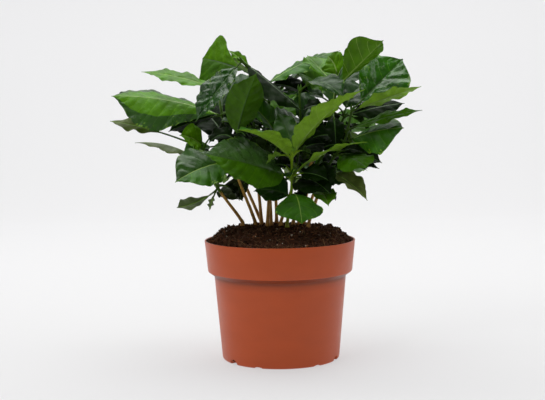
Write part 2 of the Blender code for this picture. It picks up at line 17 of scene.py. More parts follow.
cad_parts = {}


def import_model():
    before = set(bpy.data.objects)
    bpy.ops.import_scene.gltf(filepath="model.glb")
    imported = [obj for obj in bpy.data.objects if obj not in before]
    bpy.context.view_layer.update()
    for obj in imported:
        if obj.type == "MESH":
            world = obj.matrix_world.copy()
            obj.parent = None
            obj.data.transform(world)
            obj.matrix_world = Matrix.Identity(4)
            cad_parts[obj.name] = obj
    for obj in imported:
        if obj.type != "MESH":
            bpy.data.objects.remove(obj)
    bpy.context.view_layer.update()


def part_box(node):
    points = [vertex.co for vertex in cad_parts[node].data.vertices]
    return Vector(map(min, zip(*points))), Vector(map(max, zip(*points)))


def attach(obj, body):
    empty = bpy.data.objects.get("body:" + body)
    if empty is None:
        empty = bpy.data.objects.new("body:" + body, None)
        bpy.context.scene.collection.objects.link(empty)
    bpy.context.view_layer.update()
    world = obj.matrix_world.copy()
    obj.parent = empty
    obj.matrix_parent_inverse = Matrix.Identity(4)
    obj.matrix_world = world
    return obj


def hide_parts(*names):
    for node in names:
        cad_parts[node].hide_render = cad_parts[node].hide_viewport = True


# Camera, in metres and degrees; the focal length is in pixels of a 545 wide picture
IMAGE_WIDTH = 545
CAMERA_PLACE = (0.0, -0.900, 0.204)
CAMERA_PITCH = 4.93
CAMERA_YAW = -0.35
CAMERA_ROLL = 0.64
FOCAL_PIXELS = 1134.0
SENSOR_WIDTH = 36.0

# Pot and soil
POT_RIM_RADIUS = 0.060
POT_HEIGHT = 0.095
POT_BASE_RADIUS = 0.0468
POT_WALL = 0.0012
POT_FLOOR = 0.0016
POT_LIP_ROUND = 0.0005
COLLAR_FOOT_RADIUS = 0.0576
COLLAR_FOOT_HEIGHT = 0.0705
SHOULDER_RADIUS = 0.0526
SHOULDER_HEIGHT = 0.0669
FLOOR_INSET = 0.0002        # the inner floor is this much narrower than the foot less its wall
FOOT_ROUND = 0.0018
INNER_ROUND = 0.0008
COLLAR_ROUND = 0.0007
SHOULDER_ROUND = 0.0010
ROUND_STEPS = 5
POT_SEGMENTS = 192
POT_SHARP_ANGLE = 32        # degrees

NOTCH_COUNT = 3
NOTCH_WIDTH = 0.009
NOTCH_HEIGHT = 0.004
NOTCH_AZIMUTH = -22.5       # degrees from +X of the first large notch
SMALL_NOTCH_WIDTH = 0.007
SMALL_NOTCH_HEIGHT = 0.0013
SMALL_NOTCH_OFFSET = 30.0   # degrees to either side of a large notch
NOTCH_DEPTH = 0.006
NOTCH_SEGMENTS = 32

SOIL_RIM_LEVEL = 0.0938
SOIL_HEAP = 0.0085
HEAP_EDGE = (0.046, 0.058)    # from this radius the heap falls off, to nothing at the next
HEAP_FRONT = (-0.045, 0.015)  # and between these depths it falls to a quarter towards the front
HEAP_FRONT_SHARE = 0.25
SOIL_LUMP = 0.0011
LUMPS_FULL_AT = 0.25        # share of the heap from which the lumps have their full height
LUMP_WAVES = ((310, 270, 1.3, 0.5), (310, -270, 0.9, 0.5), (520, -380, 2.0, 0.6), (240, 610, 1.6, 0.5))
SOIL_RINGS = 84
SOIL_SEGMENTS = 220
SOIL_FOOT_INSET = 0.0006
SOIL_EDGE_INSET = 0.0002
SOIL_GRAIN = 0.0009
GRAIN_WAVES = ((260, 0, 1.0), (620, 3, 0.6), (1300, 7, 0.35))    # scale, layer and share
SOIL_REACH = 0.0572         # loose pieces lie within this radius
SOIL_SEED = 11

# Loose pieces of the soil
CRUMBS = {"peat": (1500, 0.0005, 0.0015), "bark_bit": (420, 0.0006, 0.0016),     # count, then sizes
          "dust": (700, 0.0004, 0.0010)}
CRUMB_FORM = (1.0, (0.55, 1.0), (0.35, 0.9))    # length, then ranges of breadth and thickness
CHIP_FORM = (1.5, (0.3, 0.7), (0.2, 0.4))
CRUMB_ROUGHNESS = 0.22
FINE_CRUMB = 0.0009         # a larger crumb has more faces
SMALL_CRUMBS = 2.2          # the higher, the more of them are small
CRUMB_RISE = 0.25
FIBRE_COUNT = 520
FIBRE_LENGTH = (0.002, 0.008)
FIBRE_RADIUS = (0.00007, 0.00022)
FIBRE_POINTS = 5
FIBRE_SIDES = 5
FIBRE_BEND = 0.35
FIBRE_SLOPE = 0.12
FIBRE_RISE = (0.0002, 0.0010)
FIBRE_EDGE = 0.0575         # fibres stay within this radius
FLECK_COUNT = 26
FLECK_SIZE = (0.0003, 0.0008)
FLECK_ROUGHNESS = 0.15
FLECK_RISE = 0.6

# Sizes that rule how the plant grows
STEM_RADIUS = 0.0014        # bare stem just above its foot
STEM_TIP_RADIUS = 0.0009    # stem at its growing tip
FOOT_FLARE = 0.0007         # widening of a stem where it enters the soil
FOOT_FLARE_HEIGHT = 0.006
BARE_BELOW_NODE = 0.004     # a bare stem ends this far below its lowest leaf pair
GAP = 0.0003                # clearance between neighbouring pieces

PETIOLE_RADIUS = 0.0009
BLADE_THICKNESS = 0.0011
BLADE_FOLD = 14.0           # degrees each half blade rises from the midrib
WAVE_HEIGHT = 0.0012        # undulation of the blade margins
WAVES_PER_BLADE = 3.2
LEAF_CLEARANCE = 0.0007     # least space kept between two leaves
STALK_CLEAR = 0.003         # part of a leaf stalk that may touch its own node
SIBLING_FROM = 0.9          # share of its stalk from which a leaf keeps clear of its own node's leaves
PAIR_STAGGER = 0.0006       # each next leaf of a node starts this much higher on the stem
NEAR_BEND = (0.30, 1.5)     # share of a leaf's chord, and of its bow, at the first bend of its midrib
FAR_BEND = (0.72, 1.1)
BLUNTNESS = 0.75            # below 1 the blade's base is round; DRIP_TIP draws its end out
DRIP_TIP = 0.9
BLADE_STATIONS = (0.0, 0.1, 0.26, 0.44, 0.62, 0.79, 0.92, 1.0)
MIDRIB_FIRST = (1, 4)       # strips of a leaf's section whose diagonals start at their first edge
STEPS_PER_SPAN = 4
LEVEL_DECIMALS = 4          # the feet of the stems stand at heights of so many decimals
ASKEW = (0.3, 1.0, 0.1)     # a direction in which no stem or stalk runs
SEED = 7
ADJUSTMENTS = [(0, 0, 0, 1.0)] + [
    (bearing, rise, turn, size) for size in (1.0, 0.88) for reach in (4, 8, 13)
    for bearing, rise, turn in ((0, reach, 0), (0, -reach, 0), (reach, 0, 0), (-reach, 0, 0),
                                (0, 0, 1.5 * reach), (0, 0, -1.5 * reach), (reach, reach, 0),
                                (-reach, reach, 0), (reach, -reach, 0), (-reach, -reach, 0))]

INNER_CENTRE = (0.008, 0.022, 0.163)    # middle and reach of the egg-shaped space of the inner leaves
INNER_REACH = (0.080, 0.055, 0.046)
INNER_STATIONS = (0.3, 0.6, 0.85, 1.0)  # where along a leaf this is tested
INNER_COUNT = 23
INNER_TRIES = 5             # pairs tried at each node
INNER_LENGTH = (0.034, 0.054)
INNER_WIDTH = 0.62          # as a share of the length
INNER_RISE = (-32, 36)
INNER_TURN = (-50, 50)
SMALL_COUNT = 62            # young leaves that only the finished plant has, between the others
SMALL_TRIES = 7
SMALL_LENGTH = (0.019, 0.033)

Leaf = namedtuple("Leaf", "node bearing rise length width bow turn sweep fold stalk widest")
Seedling = namedtuple("Seedling", "name foot nodes leaves")
Grown = namedtuple("Grown", "seedling root leaf phase number whole blade")


def mm(*values):
    return tuple(v / 1000.0 for v in values)


def leaf(node, bearing, rise, length, width, bow=6, turn=0, sweep=0, fold=BLADE_FOLD, stalk=8,
         widest=0.47):
    """A leaf on stem node number `node`; degrees for the angles, millimetres for the lengths."""
    return Leaf(node, bearing, rise, length / 1000, width / 1000, bow / 1000, turn, sweep / 1000, fold,
                stalk / 1000, widest)


# Foot, nodes and leaves of each seedling
SEEDLINGS = (
    Seedling("front", mm(6, 9), (mm(9, -2, 127), mm(10, -8, 144), mm(10, -13, 159), mm(11, -15, 165)), (
        leaf(0, -80, -18, 48, 38, 12, fold=-10, widest=0.7),
        leaf(0, 166, 10, 31, 27, 4, turn=-50, stalk=3, widest=0.42),
        leaf(1, -152, 16, 80, 49, 2, turn=-48, fold=4, widest=0.44),
        leaf(1, -11, 25, 66, 18, 7, turn=-10, fold=0),
        leaf(2, -134, 23, 64, 35, 5, turn=-5, stalk=6),
        leaf(2, -30, 40, 83, 34, 7, turn=-5, widest=0.4),
        leaf(3, 130, 58, 36, 19, 3, turn=-40, stalk=5),
    )),
    Seedling("left", mm(-30, 15), (mm(-49, 2, 136), mm(-55, 4, 148), mm(-60, 6, 167)), (
        leaf(0, -138, -17, 43, 14, -3, turn=-35, widest=0.68),
        leaf(0, -130, -56, 20, 6, 1),
        leaf(0, 58, -22, 38, 30, 5, turn=-38),
        leaf(1, -160, 23, 66, 15, 9, fold=-42, stalk=10),
        leaf(2, 173, 17, 80, 18, 3, turn=-28, fold=0, stalk=38, widest=0.5),
        leaf(2, -133, 24, 28, 24, 3, turn=-68, stalk=3, widest=0.45),
    )),
    Seedling("middle_left", mm(-20, 22), (mm(-36, -6, 157), mm(-34, -6, 173)), (
        leaf(0, -141, -13, 57, 41, 4, turn=-39, fold=4),
        leaf(1, -55, 60, 62, 30, 3, turn=-20),
    )),
    Seedling("back_left", mm(-15.5, 48), (mm(-40, 36, 165), mm(-46, 25, 193), mm(-49, 34, 214)), (
        leaf(1, -166, 11, 91, 59, 5, turn=-37, fold=-25, stalk=4, widest=0.63),
        leaf(1, 178, -16, 46, 34, 2, turn=-35),
        leaf(2, 168, 14, 68, 22, 3, turn=-25, fold=0),
    )),
    Seedling("centre_left", mm(-15, 37), (mm(-20, 30, 172), mm(-21, 27, 226), mm(-29, 16, 237)), (
        leaf(2, -148, -48, 64, 29, 2, turn=-20, sweep=-2),
        leaf(1, 142, 16, 56, 46, 2, turn=-65, fold=0, widest=0.78),
        leaf(1, 150, 42, 30, 10, 2, turn=-30),
        leaf(2, -25, -38, 66, 31, 1, turn=10, fold=-25),
    )),
    Seedling("centre", mm(-10, 19), (mm(-6, 12, 150), mm(0, 12, 173)), (
        leaf(1, -150, 42, 42, 28, 3, turn=-50),
    )),
    Seedling("centre_right", mm(1, 17), (mm(12, 7, 142), mm(17, 4, 180), mm(17, 2, 212)), (
        leaf(0, -55, -12, 44, 40, 5, turn=30),
        leaf(2, -48, -7, 49, 26, 10, turn=15),
    )),
    Seedling("back", mm(-7, 27), (mm(-10, 44, 180), mm(-13, 45, 216)), (
        leaf(1, 0, 25, 71, 26, 4, turn=20, fold=-10),
    )),
    Seedling("top_right", mm(11, 18), (mm(28, 16, 160), mm(43, 4, 196), mm(46, 0, 215)), (
        leaf(1, -85, -52, 32, 15, 4),
        leaf(2, -40, 38, 57, 36, 0, turn=-25, fold=32, widest=0.6),
        leaf(2, 132, 38, 42, 38, 0),
    )),
    Seedling("right", mm(23, 8), (
        mm(31, 6, 130), mm(37, 4, 148), mm(44, 5, 160), mm(52, 7, 171), mm(55, 6, 181), mm(58, 3, 196)), (
        leaf(0, -78, -11, 34, 20, 5, turn=5),
        leaf(1, -44, -23, 46, 22, 4, turn=15, fold=20, widest=0.38),
        leaf(2, -56, -10, 43, 32, 4, turn=20, fold=-10, widest=0.55),
        leaf(3, -31, 13, 54, 43, 3, turn=40, fold=-20, widest=0.55),
        leaf(4, -28, 14, 65, 18, 2, turn=30, fold=0),
        leaf(5, -26, 18, 61, 20, 1, turn=-22, fold=5),
        leaf(5, 16, 43, 60, 49, 0, turn=45, fold=8, stalk=12, widest=0.58),
    )),
    Seedling("far_right", mm(16, 30), (mm(30, 26, 150), mm(44, 25, 172), mm(53, 21, 191)), (
        leaf(2, 13, 12, 53, 24, 2, turn=40, fold=-10),
    )),
    Seedling("rear", mm(-2.5, 44), (mm(-4, 62, 148), mm(-8, 72, 176), mm(-8, 76, 203)), ()),
    Seedling("rear_right", mm(20, 34), (mm(34, 48, 142), mm(41, 58, 172), mm(44, 64, 202)), ()),
)

# Leaves that lie behind the others, by seedling
BEHIND = {
    "rear_right": (leaf(1, 50, 10, 72, 33, turn=30), leaf(2, 35, 42, 70, 30, turn=30),
                   leaf(0, 18, 12, 46, 32, turn=30), leaf(2, 160, 18, 52, 24, turn=-30),
                   leaf(0, 165, 30, 56, 26, turn=-30), leaf(2, -165, 38, 44, 32, turn=-45)),
    "top_right": (leaf(1, 75, 45, 60, 30, turn=-30), leaf(0, -3, 12, 32, 24, turn=70),
                  leaf(2, 120, 62, 27, 22, turn=-60)),
    "rear": (leaf(0, 140, 18, 72, 33, turn=-30), leaf(1, 60, 45, 72, 32, turn=30),
             leaf(2, 135, 15, 66, 30, turn=-30), leaf(0, 8, -10, 60, 34, turn=45),
             leaf(2, 15, 30, 64, 28), leaf(1, 180, 15, 50, 24, turn=-30)),
    "back_left": (leaf(0, 120, 30, 74, 33, turn=-30), leaf(1, 90, 30, 62, 28, turn=-30),
                  leaf(0, -168, -12, 40, 26, turn=-30, stalk=16)),
    "back": (leaf(0, 135, 30, 68, 30, turn=-30), leaf(1, 120, 15, 66, 30, turn=30),
             leaf(0, -20, -20, 60, 34, turn=30), leaf(1, 5, -8, 44, 26, turn=30)),
    "middle_left": (leaf(1, 170, -4, 22, 16, turn=-40, stalk=3),),
    "centre_left": (leaf(0, 135, -15, 64, 30, turn=-30),),
    "left": (leaf(1, 90, -15, 60, 28, turn=30),),
    "centre_right": (leaf(0, -150, -15, 46, 22, turn=-30), leaf(0, 90, 0, 56, 26, turn=30),
                     leaf(1, 62, 36, 44, 30, turn=40), leaf(0, 130, -45, 28, 20, turn=-30)),
    "centre": (leaf(1, 70, 20, 50, 30, turn=30), leaf(0, 35, -8, 44, 28, turn=30)),
    "far_right": (leaf(0, 40, -6, 30, 24, turn=30), leaf(2, 60, 35, 44, 34, turn=30)),
}


def unit(vector):
    return vector / np.linalg.norm(vector)


def blade_profile(u, widest):
    """Half-width of a blade as a share of its widest, from blade base (u = 0) to drip tip (u = 1)."""
    return np.sin(math.pi * u ** (math.log(0.5) / math.log(widest))) ** (BLUNTNESS + DRIP_TIP * u ** 3)


def leaf_frame(root, leaf, stations):
    """Points of the midrib at the given shares of the leaf's length, with side and up directions."""
    bearing, rise = math.radians(leaf.bearing), math.radians(leaf.rise)
    chord = leaf.length * np.array((math.cos(rise) * math.cos(bearing),
                                    math.cos(rise) * math.sin(bearing), math.sin(rise)))
    along = unit(chord)
    up = unit(np.array((0.0, 0.0, 1.0)) - along[2] * along)
    side = np.cross(along, up)
    lift = leaf.bow * up + leaf.sweep * side
    (near, near_lift), (far, far_lift) = NEAR_BEND, FAR_BEND
    p0, p3 = root, root + chord
    p1, p2 = root + near * chord + near_lift * lift, root + far * chord + far_lift * lift
    t = np.asarray(stations)[:, None]
    points = (1 - t) ** 3 * p0 + 3 * (1 - t) ** 2 * t * p1 + 3 * (1 - t) * t ** 2 * p2 + t ** 3 * p3
    tangents = (1 - t) ** 2 * (p1 - p0) + 2 * (1 - t) * t * (p2 - p1) + t ** 2 * (p3 - p2)
    tangents /= np.linalg.norm(tangents, axis=1)[:, None]
    normals = up - (tangents @ up)[:, None] * tangents
    normals /= np.linalg.norm(normals, axis=1)[:, None]
    sides = np.cross(tangents, normals)
    roll = np.radians(leaf.turn)
    rolled_sides = sides * np.cos(roll) - normals * np.sin(roll)
    return points, rolled_sides, normals * np.cos(roll) + sides * np.sin(roll)


def leaf_section(root, leaf, stations, phase):
    """Midrib points, left and right margin points and blade normals of a leaf at the given stations."""
    points, sides, normals = leaf_frame(root, leaf, stations)
    stalk = leaf.stalk / leaf.length
    u = np.clip((np.asarray(stations) - stalk) / (1 - stalk), 0, 1)
    shape = blade_profile(u, leaf.widest)
    half = np.maximum(leaf.width / 2 * shape, PETIOLE_RADIUS)[:, None]
    fold = math.radians(leaf.fold)
    margins = []
    for hand in (-1, 1):
        wave = WAVE_HEIGHT * shape * np.sin(math.tau * WAVES_PER_BLADE * u + phase + hand)
        margins.append(points + half * (hand * math.cos(fold) * sides + math.sin(fold) * normals)
                       + wave[:, None] * normals)
    return points, margins[0], margins[1], normals


def leaf_body(root, leaf, phase, start=0.0, extra=0.0):
    """Vertices and faces of a leaf as one closed body; `extra` is added all round it."""
    stalk = leaf.stalk / leaf.length
    stations = [start] + [stalk + (1 - stalk) * u for u in BLADE_STATIONS]
    middle, left, right, normals = leaf_section(root, leaf, stations, phase)
    across = (right - left) / np.linalg.norm(right - left, axis=1)[:, None]
    half = BLADE_THICKNESS / 2 + extra / 2
    rows = []
    for line in (left - extra * across, middle, right + extra * across):
        rows.append(line + half * normals)
    for line in (right + extra * across, middle, left - extra * across):
        rows.append(line - half * normals)
    vertices = np.stack(rows, axis=1).reshape(-1, 3)
    count, ring = len(stations), len(rows)
    faces = []
    for i in range(count - 1):
        for k in range(ring):
            a, b = i * ring + k, i * ring + (k + 1) % ring
            if k in MIDRIB_FIRST:
                faces += [(a, b, b + ring), (a, b + ring, a + ring)]
            else:
                faces += [(a, b, a + ring), (b, b + ring, a + ring)]
    for first in (0, (count - 1) * ring):
        faces += [(first, first + 1, first + 4, first + 5), (first + 1, first + 2, first + 3, first + 4)]
    return vertices, faces


def stem_path(seedling, soil_level):
    """Points up the axis of a stem, from its upright foot through its nodes, on a smooth curve."""
    foot = np.array((*seedling.foot, soil_level))
    knots = [foot, foot + (0, 0, FOOT_FLARE_HEIGHT / 2)] + [np.array(node) for node in seedling.nodes]
    path = [knots[0]]
    for i in range(1, len(knots) - 1):
        before, here, after = knots[i - 1], knots[i], knots[i + 1]
        beyond = knots[i + 2] if i + 2 < len(knots) else 2 * after - here
        span = np.linalg.norm(after - here)
        slope_here = span * unit(after - before)
        slope_after = span * unit(beyond - here)
        for t in np.arange(1, STEPS_PER_SPAN + 1) / STEPS_PER_SPAN:
            path.append((2 * t ** 3 - 3 * t ** 2 + 1) * here + (t ** 3 - 2 * t ** 2 + t) * slope_here
                        + (3 * t ** 2 - 2 * t ** 3) * after + (t ** 3 - t ** 2) * slope_after)
    path.insert(1, knots[1])
    return np.array(path)


def radius_at(height_above_soil, full_height):
    taper = STEM_RADIUS + (STEM_TIP_RADIUS - STEM_RADIUS) * height_above_soil / full_height
    return taper + FOOT_FLARE * max(0.0, 1 - height_above_soil / FOOT_FLARE_HEIGHT) ** 2


def tube_polygons(points, radius, sides=6):
    """A plain tube round a path, used to keep leaves clear of stems."""
    vertices, faces = [], []
    for i, point in enumerate(points):
        along = unit(points[min(i + 1, len(points) - 1)] - points[max(i - 1, 0)])
        a = unit(np.cross(along, ASKEW))
        b = np.cross(along, a)
        for k in range(sides):
            angle = math.tau * k / sides
            vertices.append(point + radius * (math.cos(angle) * a + math.sin(angle) * b))
    for i in range(len(points) - 1):
        for k in range(sides):
            p, q = i * sides + k, i * sides + (k + 1) % sides
            faces.append((p, q, q + sides, p + sides))
    return vertices, faces


def tree(vertices, faces):
    return BVHTree.FromPolygons([tuple(v) for v in vertices], faces)


def inner_leaves(seed, tries, lengths):
    """Opposite leaves at every node of every stem, in a seeded order, to fill the middle of the crown."""
    rng = random.Random(seed)
    spots = [(seedling, n) for seedling in SEEDLINGS for n in range(len(seedling.nodes))] * tries
    rng.shuffle(spots)
    for seedling, n in spots:
        bearing = rng.uniform(0, 360)
        for across in (0, 180):
            length = 1000 * rng.uniform(*lengths)
            yield seedling, leaf(n, bearing + across, rng.uniform(*INNER_RISE), length, INNER_WIDTH * length,
                                 bow=4, turn=rng.uniform(*INNER_TURN))


def in_inner_space(root, leaf, phase):
    middle, left, right, _ = leaf_section(root, leaf, INNER_STATIONS, phase)
    reach = (np.vstack((middle, left, right)) - INNER_CENTRE) / INNER_REACH
    return bool(np.all(np.sum(reach ** 2, axis=1) < 1))


def grow(stem_paths):
    """Place every leaf in turn; one that meets a stem or an earlier leaf turns aside or is left out.

    An inner leaf is also left out where it would leave its space. A placed leaf keeps the phase of its
    waves, its number among the wanted leaves, and its shapes with and without its stalk.
    """
    rng = random.Random(SEED)
    stems = {name: tree(*tube_polygons(path, STEM_RADIUS + LEAF_CLEARANCE))
             for name, path in stem_paths.items()}
    wanted = [(s, leaf) for s in SEEDLINGS for leaf in s.leaves]
    wanted += [(s, leaf) for s in SEEDLINGS for leaf in BEHIND.get(s.name, ())]
    outer = len(wanted)
    wanted += inner_leaves(SEED + 1, INNER_TRIES, INNER_LENGTH)
    small = len(wanted)
    wanted += inner_leaves(SEED + 2, SMALL_TRIES, SMALL_LENGTH)
    placed = []
    for number, (seedling, leaf) in enumerate(wanted):
        inner = sum(other.number >= outer for other in placed)
        if inner >= INNER_COUNT and number < small:
            rng.uniform(0, math.tau)
            continue
        if inner == INNER_COUNT + SMALL_COUNT:
            break
        siblings = [o for o in placed if o.seedling is seedling and o.leaf.node == leaf.node]
        root = np.array(seedling.nodes[leaf.node]) + (0, 0, PAIR_STAGGER * len(siblings))
        phase = rng.uniform(0, math.tau)
        for bearing, rise, turn, size in ADJUSTMENTS:
            trial = leaf._replace(bearing=leaf.bearing + bearing, rise=leaf.rise + rise,
                                  turn=leaf.turn + turn, length=leaf.length * size,
                                  width=leaf.width * size)
            if number >= outer and not in_inner_space(root, trial, phase):
                continue
            whole = tree(*leaf_body(root, trial, phase, STALK_CLEAR / trial.length, LEAF_CLEARANCE))
            blade_start = SIBLING_FROM * trial.stalk / trial.length
            blade = tree(*leaf_body(root, trial, phase, blade_start, LEAF_CLEARANCE))
            clear = all(not (blade if name == seedling.name else whole).overlap(stem)
                        for name, stem in stems.items())
            for other in placed:
                if not clear:
                    break
                sibling = any(other is o for o in siblings)
                clear = not (blade.overlap(other.blade) if sibling else whole.overlap(other.whole))
            if clear:
                placed.append(Grown(seedling, root, trial, phase, number, whole, blade))
                break
    return placed


# Shades of the leaves: blade, side veins and underside as sRGB bytes, then roughness, specular level and
# height of the pillow between two side veins, as a share of their spacing
Shade = namedtuple("Shade", "blade vein under roughness gloss quilt")
# Some shades paint light into the colour: "lit" is painted light shining through the blade, "sheen" and
# "shine" a painted grey sheen, and "dusk" painted shade for leaves deep in the crown
SHADES = {
    "deep": Shade((24, 60, 4), (44, 84, 14), (96, 132, 36), 0.32, 0.20, 0.050),
    "sheen": Shade((44, 80, 20), (64, 100, 36), (96, 132, 36), 0.30, 0.30, 0.050),
    "shine": Shade((58, 92, 36), (84, 116, 58), (96, 132, 36), 0.28, 0.40, 0.050),
    "gloss": Shade((24, 64, 4), (46, 90, 14), (96, 132, 36), 0.13, 0.32, 0.090),
    "glow": Shade((44, 96, 6), (84, 136, 26), (104, 140, 44), 0.14, 0.34, 0.090),
    "mid": Shade((48, 96, 6), (74, 122, 18), (112, 152, 34), 0.38, 0.16, 0.050),
    "moss": Shade((56, 98, 2), (76, 118, 10), (62, 100, 4), 0.45, 0.08, 0.060),
    "fresh": Shade((74, 124, 6), (98, 146, 18), (118, 160, 40), 0.40, 0.18, 0.050),
    "lit": Shade((76, 122, 1), (98, 144, 8), (74, 118, 2), 0.46, 0.08, 0.080),
    "olive": Shade((84, 98, 40), (106, 118, 56), (114, 126, 66), 0.50, 0.20, 0.040),
    "dusk": Shade((12, 30, 1), (20, 40, 4), (30, 48, 4), 0.45, 0.05, 0.050),
    "silver": Shade((90, 104, 64), (106, 120, 76), (118, 132, 84), 0.44, 0.26, 0.040),
}
RIB_SHADES = {"rib": (116, 148, 56), "rib_dim": (54, 88, 24)}
RIB_ROUGHNESS, RIB_GLOSS, RIB_CRINKLE = 0.4, 0.3, 0.0002
VEIN_DULLNESS = 0.05            # a side vein is rougher than its blade by this much
BRIGHT_RIBS = ("mid", "fresh", "lit", "olive", "silver")    # shades whose ribs are pale

# Shade of each leaf, in the order of the tables above; a pair gives its two halves, and a slash parts the
# shade beside the midrib from the one along the margin. These pairs and slashes make one part of a leaf
# lighter or darker than the other, as painted light, shade and sheen
LEAF_SHADES = {
    "front": ("mid", "deep", ("moss", "shine"), "fresh", "mid", "mid", "sheen"),
    "left": ("silver", "silver", "dusk", "silver", "olive", "lit"),
    "middle_left": (("mid", "sheen"), "moss", "dusk"),
    "back_left": ("fresh/sheen", "dusk", "fresh", "dusk"),
    "centre_left": ("gloss", ("moss", "lit"), "lit", "dusk"),
    "centre": ("mid", "deep", "dusk"),
    "centre_right": ("dusk", "deep", "deep", "mid", "deep", "dusk"),
    "back": ("mid", "deep", "mid", "dusk", "dusk"),
    "top_right": ("dusk", "lit", "fresh", "mid", "dusk", "lit"),
    "right": ("fresh", "olive", "moss", "mid", "moss", "fresh", "glow"),
    "far_right": ("dusk", "dusk", "deep"),
}
BEHIND_SHADES = ("deep", "mid", "deep", "dusk", "moss")
# inner leaves take mostly "dusk", a painted shade for the middle of the crown
INNER_SHADES = ("dusk", "deep", "dusk", "dusk")

# Form of a fine blade; shares are of its length or, across it, of its half
VEIN_SPACING = 0.0078
FEWEST_VEINS = 4
VEIN_WIDTH = 0.00030
WIDEST_VEIN = 0.2           # half a vein's width is at most this share of the spacing
VEIN_STEPS = (0.2, 0.4, 0.6, 0.8)
VEIN_SWEEP = 0.62           # how far a side vein runs forward for each unit it runs out
VEIN_CURVE = 0.25           # how much a side vein bends forward on its way out
ACROSS = (0.0, 0.05, 0.13, 0.23, 0.34, 0.46, 0.58, 0.70, 0.81, 0.91, 1.0)
MARGIN_FROM = 0.6           # where the shade of the margin begins
CAMBER = 0.18
PILLOW_BLUNTNESS = 0.8
PILLOW_RISE = 0.07          # the pillows rise beside the rib within about this share
PILLOW_FADE = 0.55          # and are lower by this share at the margin
NARROW_HALF = 0.010         # relief is flatter where the half blade is narrower than this
WAVE_POWER = 1.7
MARGIN_RIPPLE = 0.00055
RIPPLE_WIDTH = 0.030        # a narrower leaf has smaller ripples
RIPPLE_POWER = 4
RIPPLE_SWELLS = (3.1, 0.6)  # how often the ripples swell along a blade, and by how much
CRUMPLE = 0.0080            # height of the uneven swellings for each unit of pillow height
CRUMPLE_RISE = 0.15
CRUMPLE_WAVES = ((560, 480, 1.0), (1040, 830, 0.6), (330, 1270, 0.4))    # along, across, share
CRINKLE = 0.0085            # depth of the crinkles for each unit of pillow height
LEAF_THICKNESS = 0.00034
EDGE_POWER = 6              # the higher, the nearer to the margin the blade thins out
RIB_HALF_WIDTH = 0.00062
RIB_START = 1.15            # the rib is wider than that at the base, and narrows to the tip
RIB_TAPER = 0.85
RIB_SHARE = 0.55            # the rib takes at most this share of a half blade
RIB_GROOVE = 0.00012
RIB_DEPTH = 0.00085
KEEL_START = 1.1
TIP_HALF_WIDTH = 0.00018
TIP_FROM = 0.90
BASE_TO = 0.08

# Shoots and bark
TUBE_SIDES = 14
SHOOT_STEP = 0.001
SHORTEST_SHOOT = 0.002
KNUCKLE = (0.32, 0.0016)    # swelling at a node as a share of the radius, and its reach along the stem
PETIOLE_STEPS = 9
PETIOLE_LENGTH = 1.25       # it runs on under the blade
STALK_RADIUS = 0.00082
STALK_FOOT = (0.00055, 0.10)    # swelling at the foot, and the share of the stalk that it fades over
STALK_TAPER = 0.00022
BUD_STEPS = 8
BUD_SIDES = 10
BUD_LENGTH = 0.006
BUD_RADIUS = 0.0009
BUD_POINT = 0.0001
BUD_SHAPE = (0.25, 0.74)    # the stretch of half a sine wave that gives a scale's outline
BUD_SPREAD = 0.0011
BUD_CURL = 2.0
BUD_ASKEW = (0.4, 1.0, 0.2)
BARK_SIDES = 20
BARK_STEP = 0.0009
BARK_RIDGES = (2.2, 90, 0.10)   # noise around and along the stem, and height as a share of the radius
BARK_SWELLINGS = (420, 0.05)    # the same along the stem alone
BARK_SHIFT = 7                  # keeps the ridges of two stems apart

# Colours as sRGB bytes
POT_COLOUR = (188, 76, 20)
SOIL_COLOURS = {"peat": (66, 37, 20), "bark_bit": (108, 68, 42), "dust": (42, 23, 13)}
FIBRE_COLOURS = {"pale_fibre": (120, 92, 62), "brown_fibre": (78, 50, 32)}
FLECK_COLOUR = (196, 186, 170)
STEM_COLOURS = ((196, 140, 58), (206, 166, 70))             # at the foot, and further up
FRONT_STEM_COLOURS = ((180, 146, 40), (146, 178, 20))
STEM_GREENING = (0.115, 0.150)                              # heights between which the colour turns
FRONT_STEM_GREENING = (0.100, 0.122)
SHADED_SHOOT_COLOURS = ((62, 92, 14), (66, 104, 22))               # stem and bud of the shoots inside the crown, darker than the front ones as painted shade
FRONT_SHOOT_COLOURS = ((112, 146, 14), (100, 142, 36))
STREAK_TINT = (0.40, 0.36, 0.30)                            # shares of a stem's colour in its dark streaks
COLLAR_SHADE_FROM = 0.0600         # painted shade darkens the pot from this height up to the collar's foot
COLLAR_SHADE_TINTS = ((0.0, 1.0), (0.40, 0.80), (0.62, 0.42), (0.97, 0.42), (1.0, 1.0))
NOISE_SPAN = (0.3, 0.7)     # a noise keeps within this span nearly everywhere
MOTTLE_STOPS = (0.32, 0.68)

# Stage, with linear colours
PAPER_COLOUR = (0.30, 0.297, 0.294)
PAPER_GLOW_COLOUR = (0.985, 0.985, 1.0)
PAPER_SPAN = (-0.3, 2.05)   # depth plus height
PAPER_GLOW = (0.485, 0.625)     # at the front of the floor and up the backdrop
PAPER_FRONT, PAPER_BACK, PAPER_TOP, PAPER_SIDE = -1.6, 1.90, 2.6, 3.2
PAPER_BEND = 0.90
BEND_STEPS = 24
LIGHTS = {                  # place, aim, width and height, watts
    "top_softbox": ((-0.05, 0.30, 1.30), (0.0, 0.0, 0.15), (1.5, 1.1), 16.0),
    "left_softbox": ((-1.15, -0.55, 0.75), (0.0, 0.0, 0.12), (0.7, 1.0), 3.4),
    "right_softbox": ((1.2, -0.35, 0.65), (0.0, 0.0, 0.12), (0.7, 1.0), 2.6),
    "window": ((-0.55, -0.75, 1.15), (0.0, 0.0, 0.17), (0.20, 0.28), 2.4),
    "backdrop_light": ((0.0, 0.55, 1.6), (0.0, 1.80, 0.5), (2.6, 0.6), 12.0),
}
AIR_COLOUR = (0.95, 0.97, 1.0)
AIR_LIGHT = 0.14            # light of the room; its far wall is pale where the paper ends
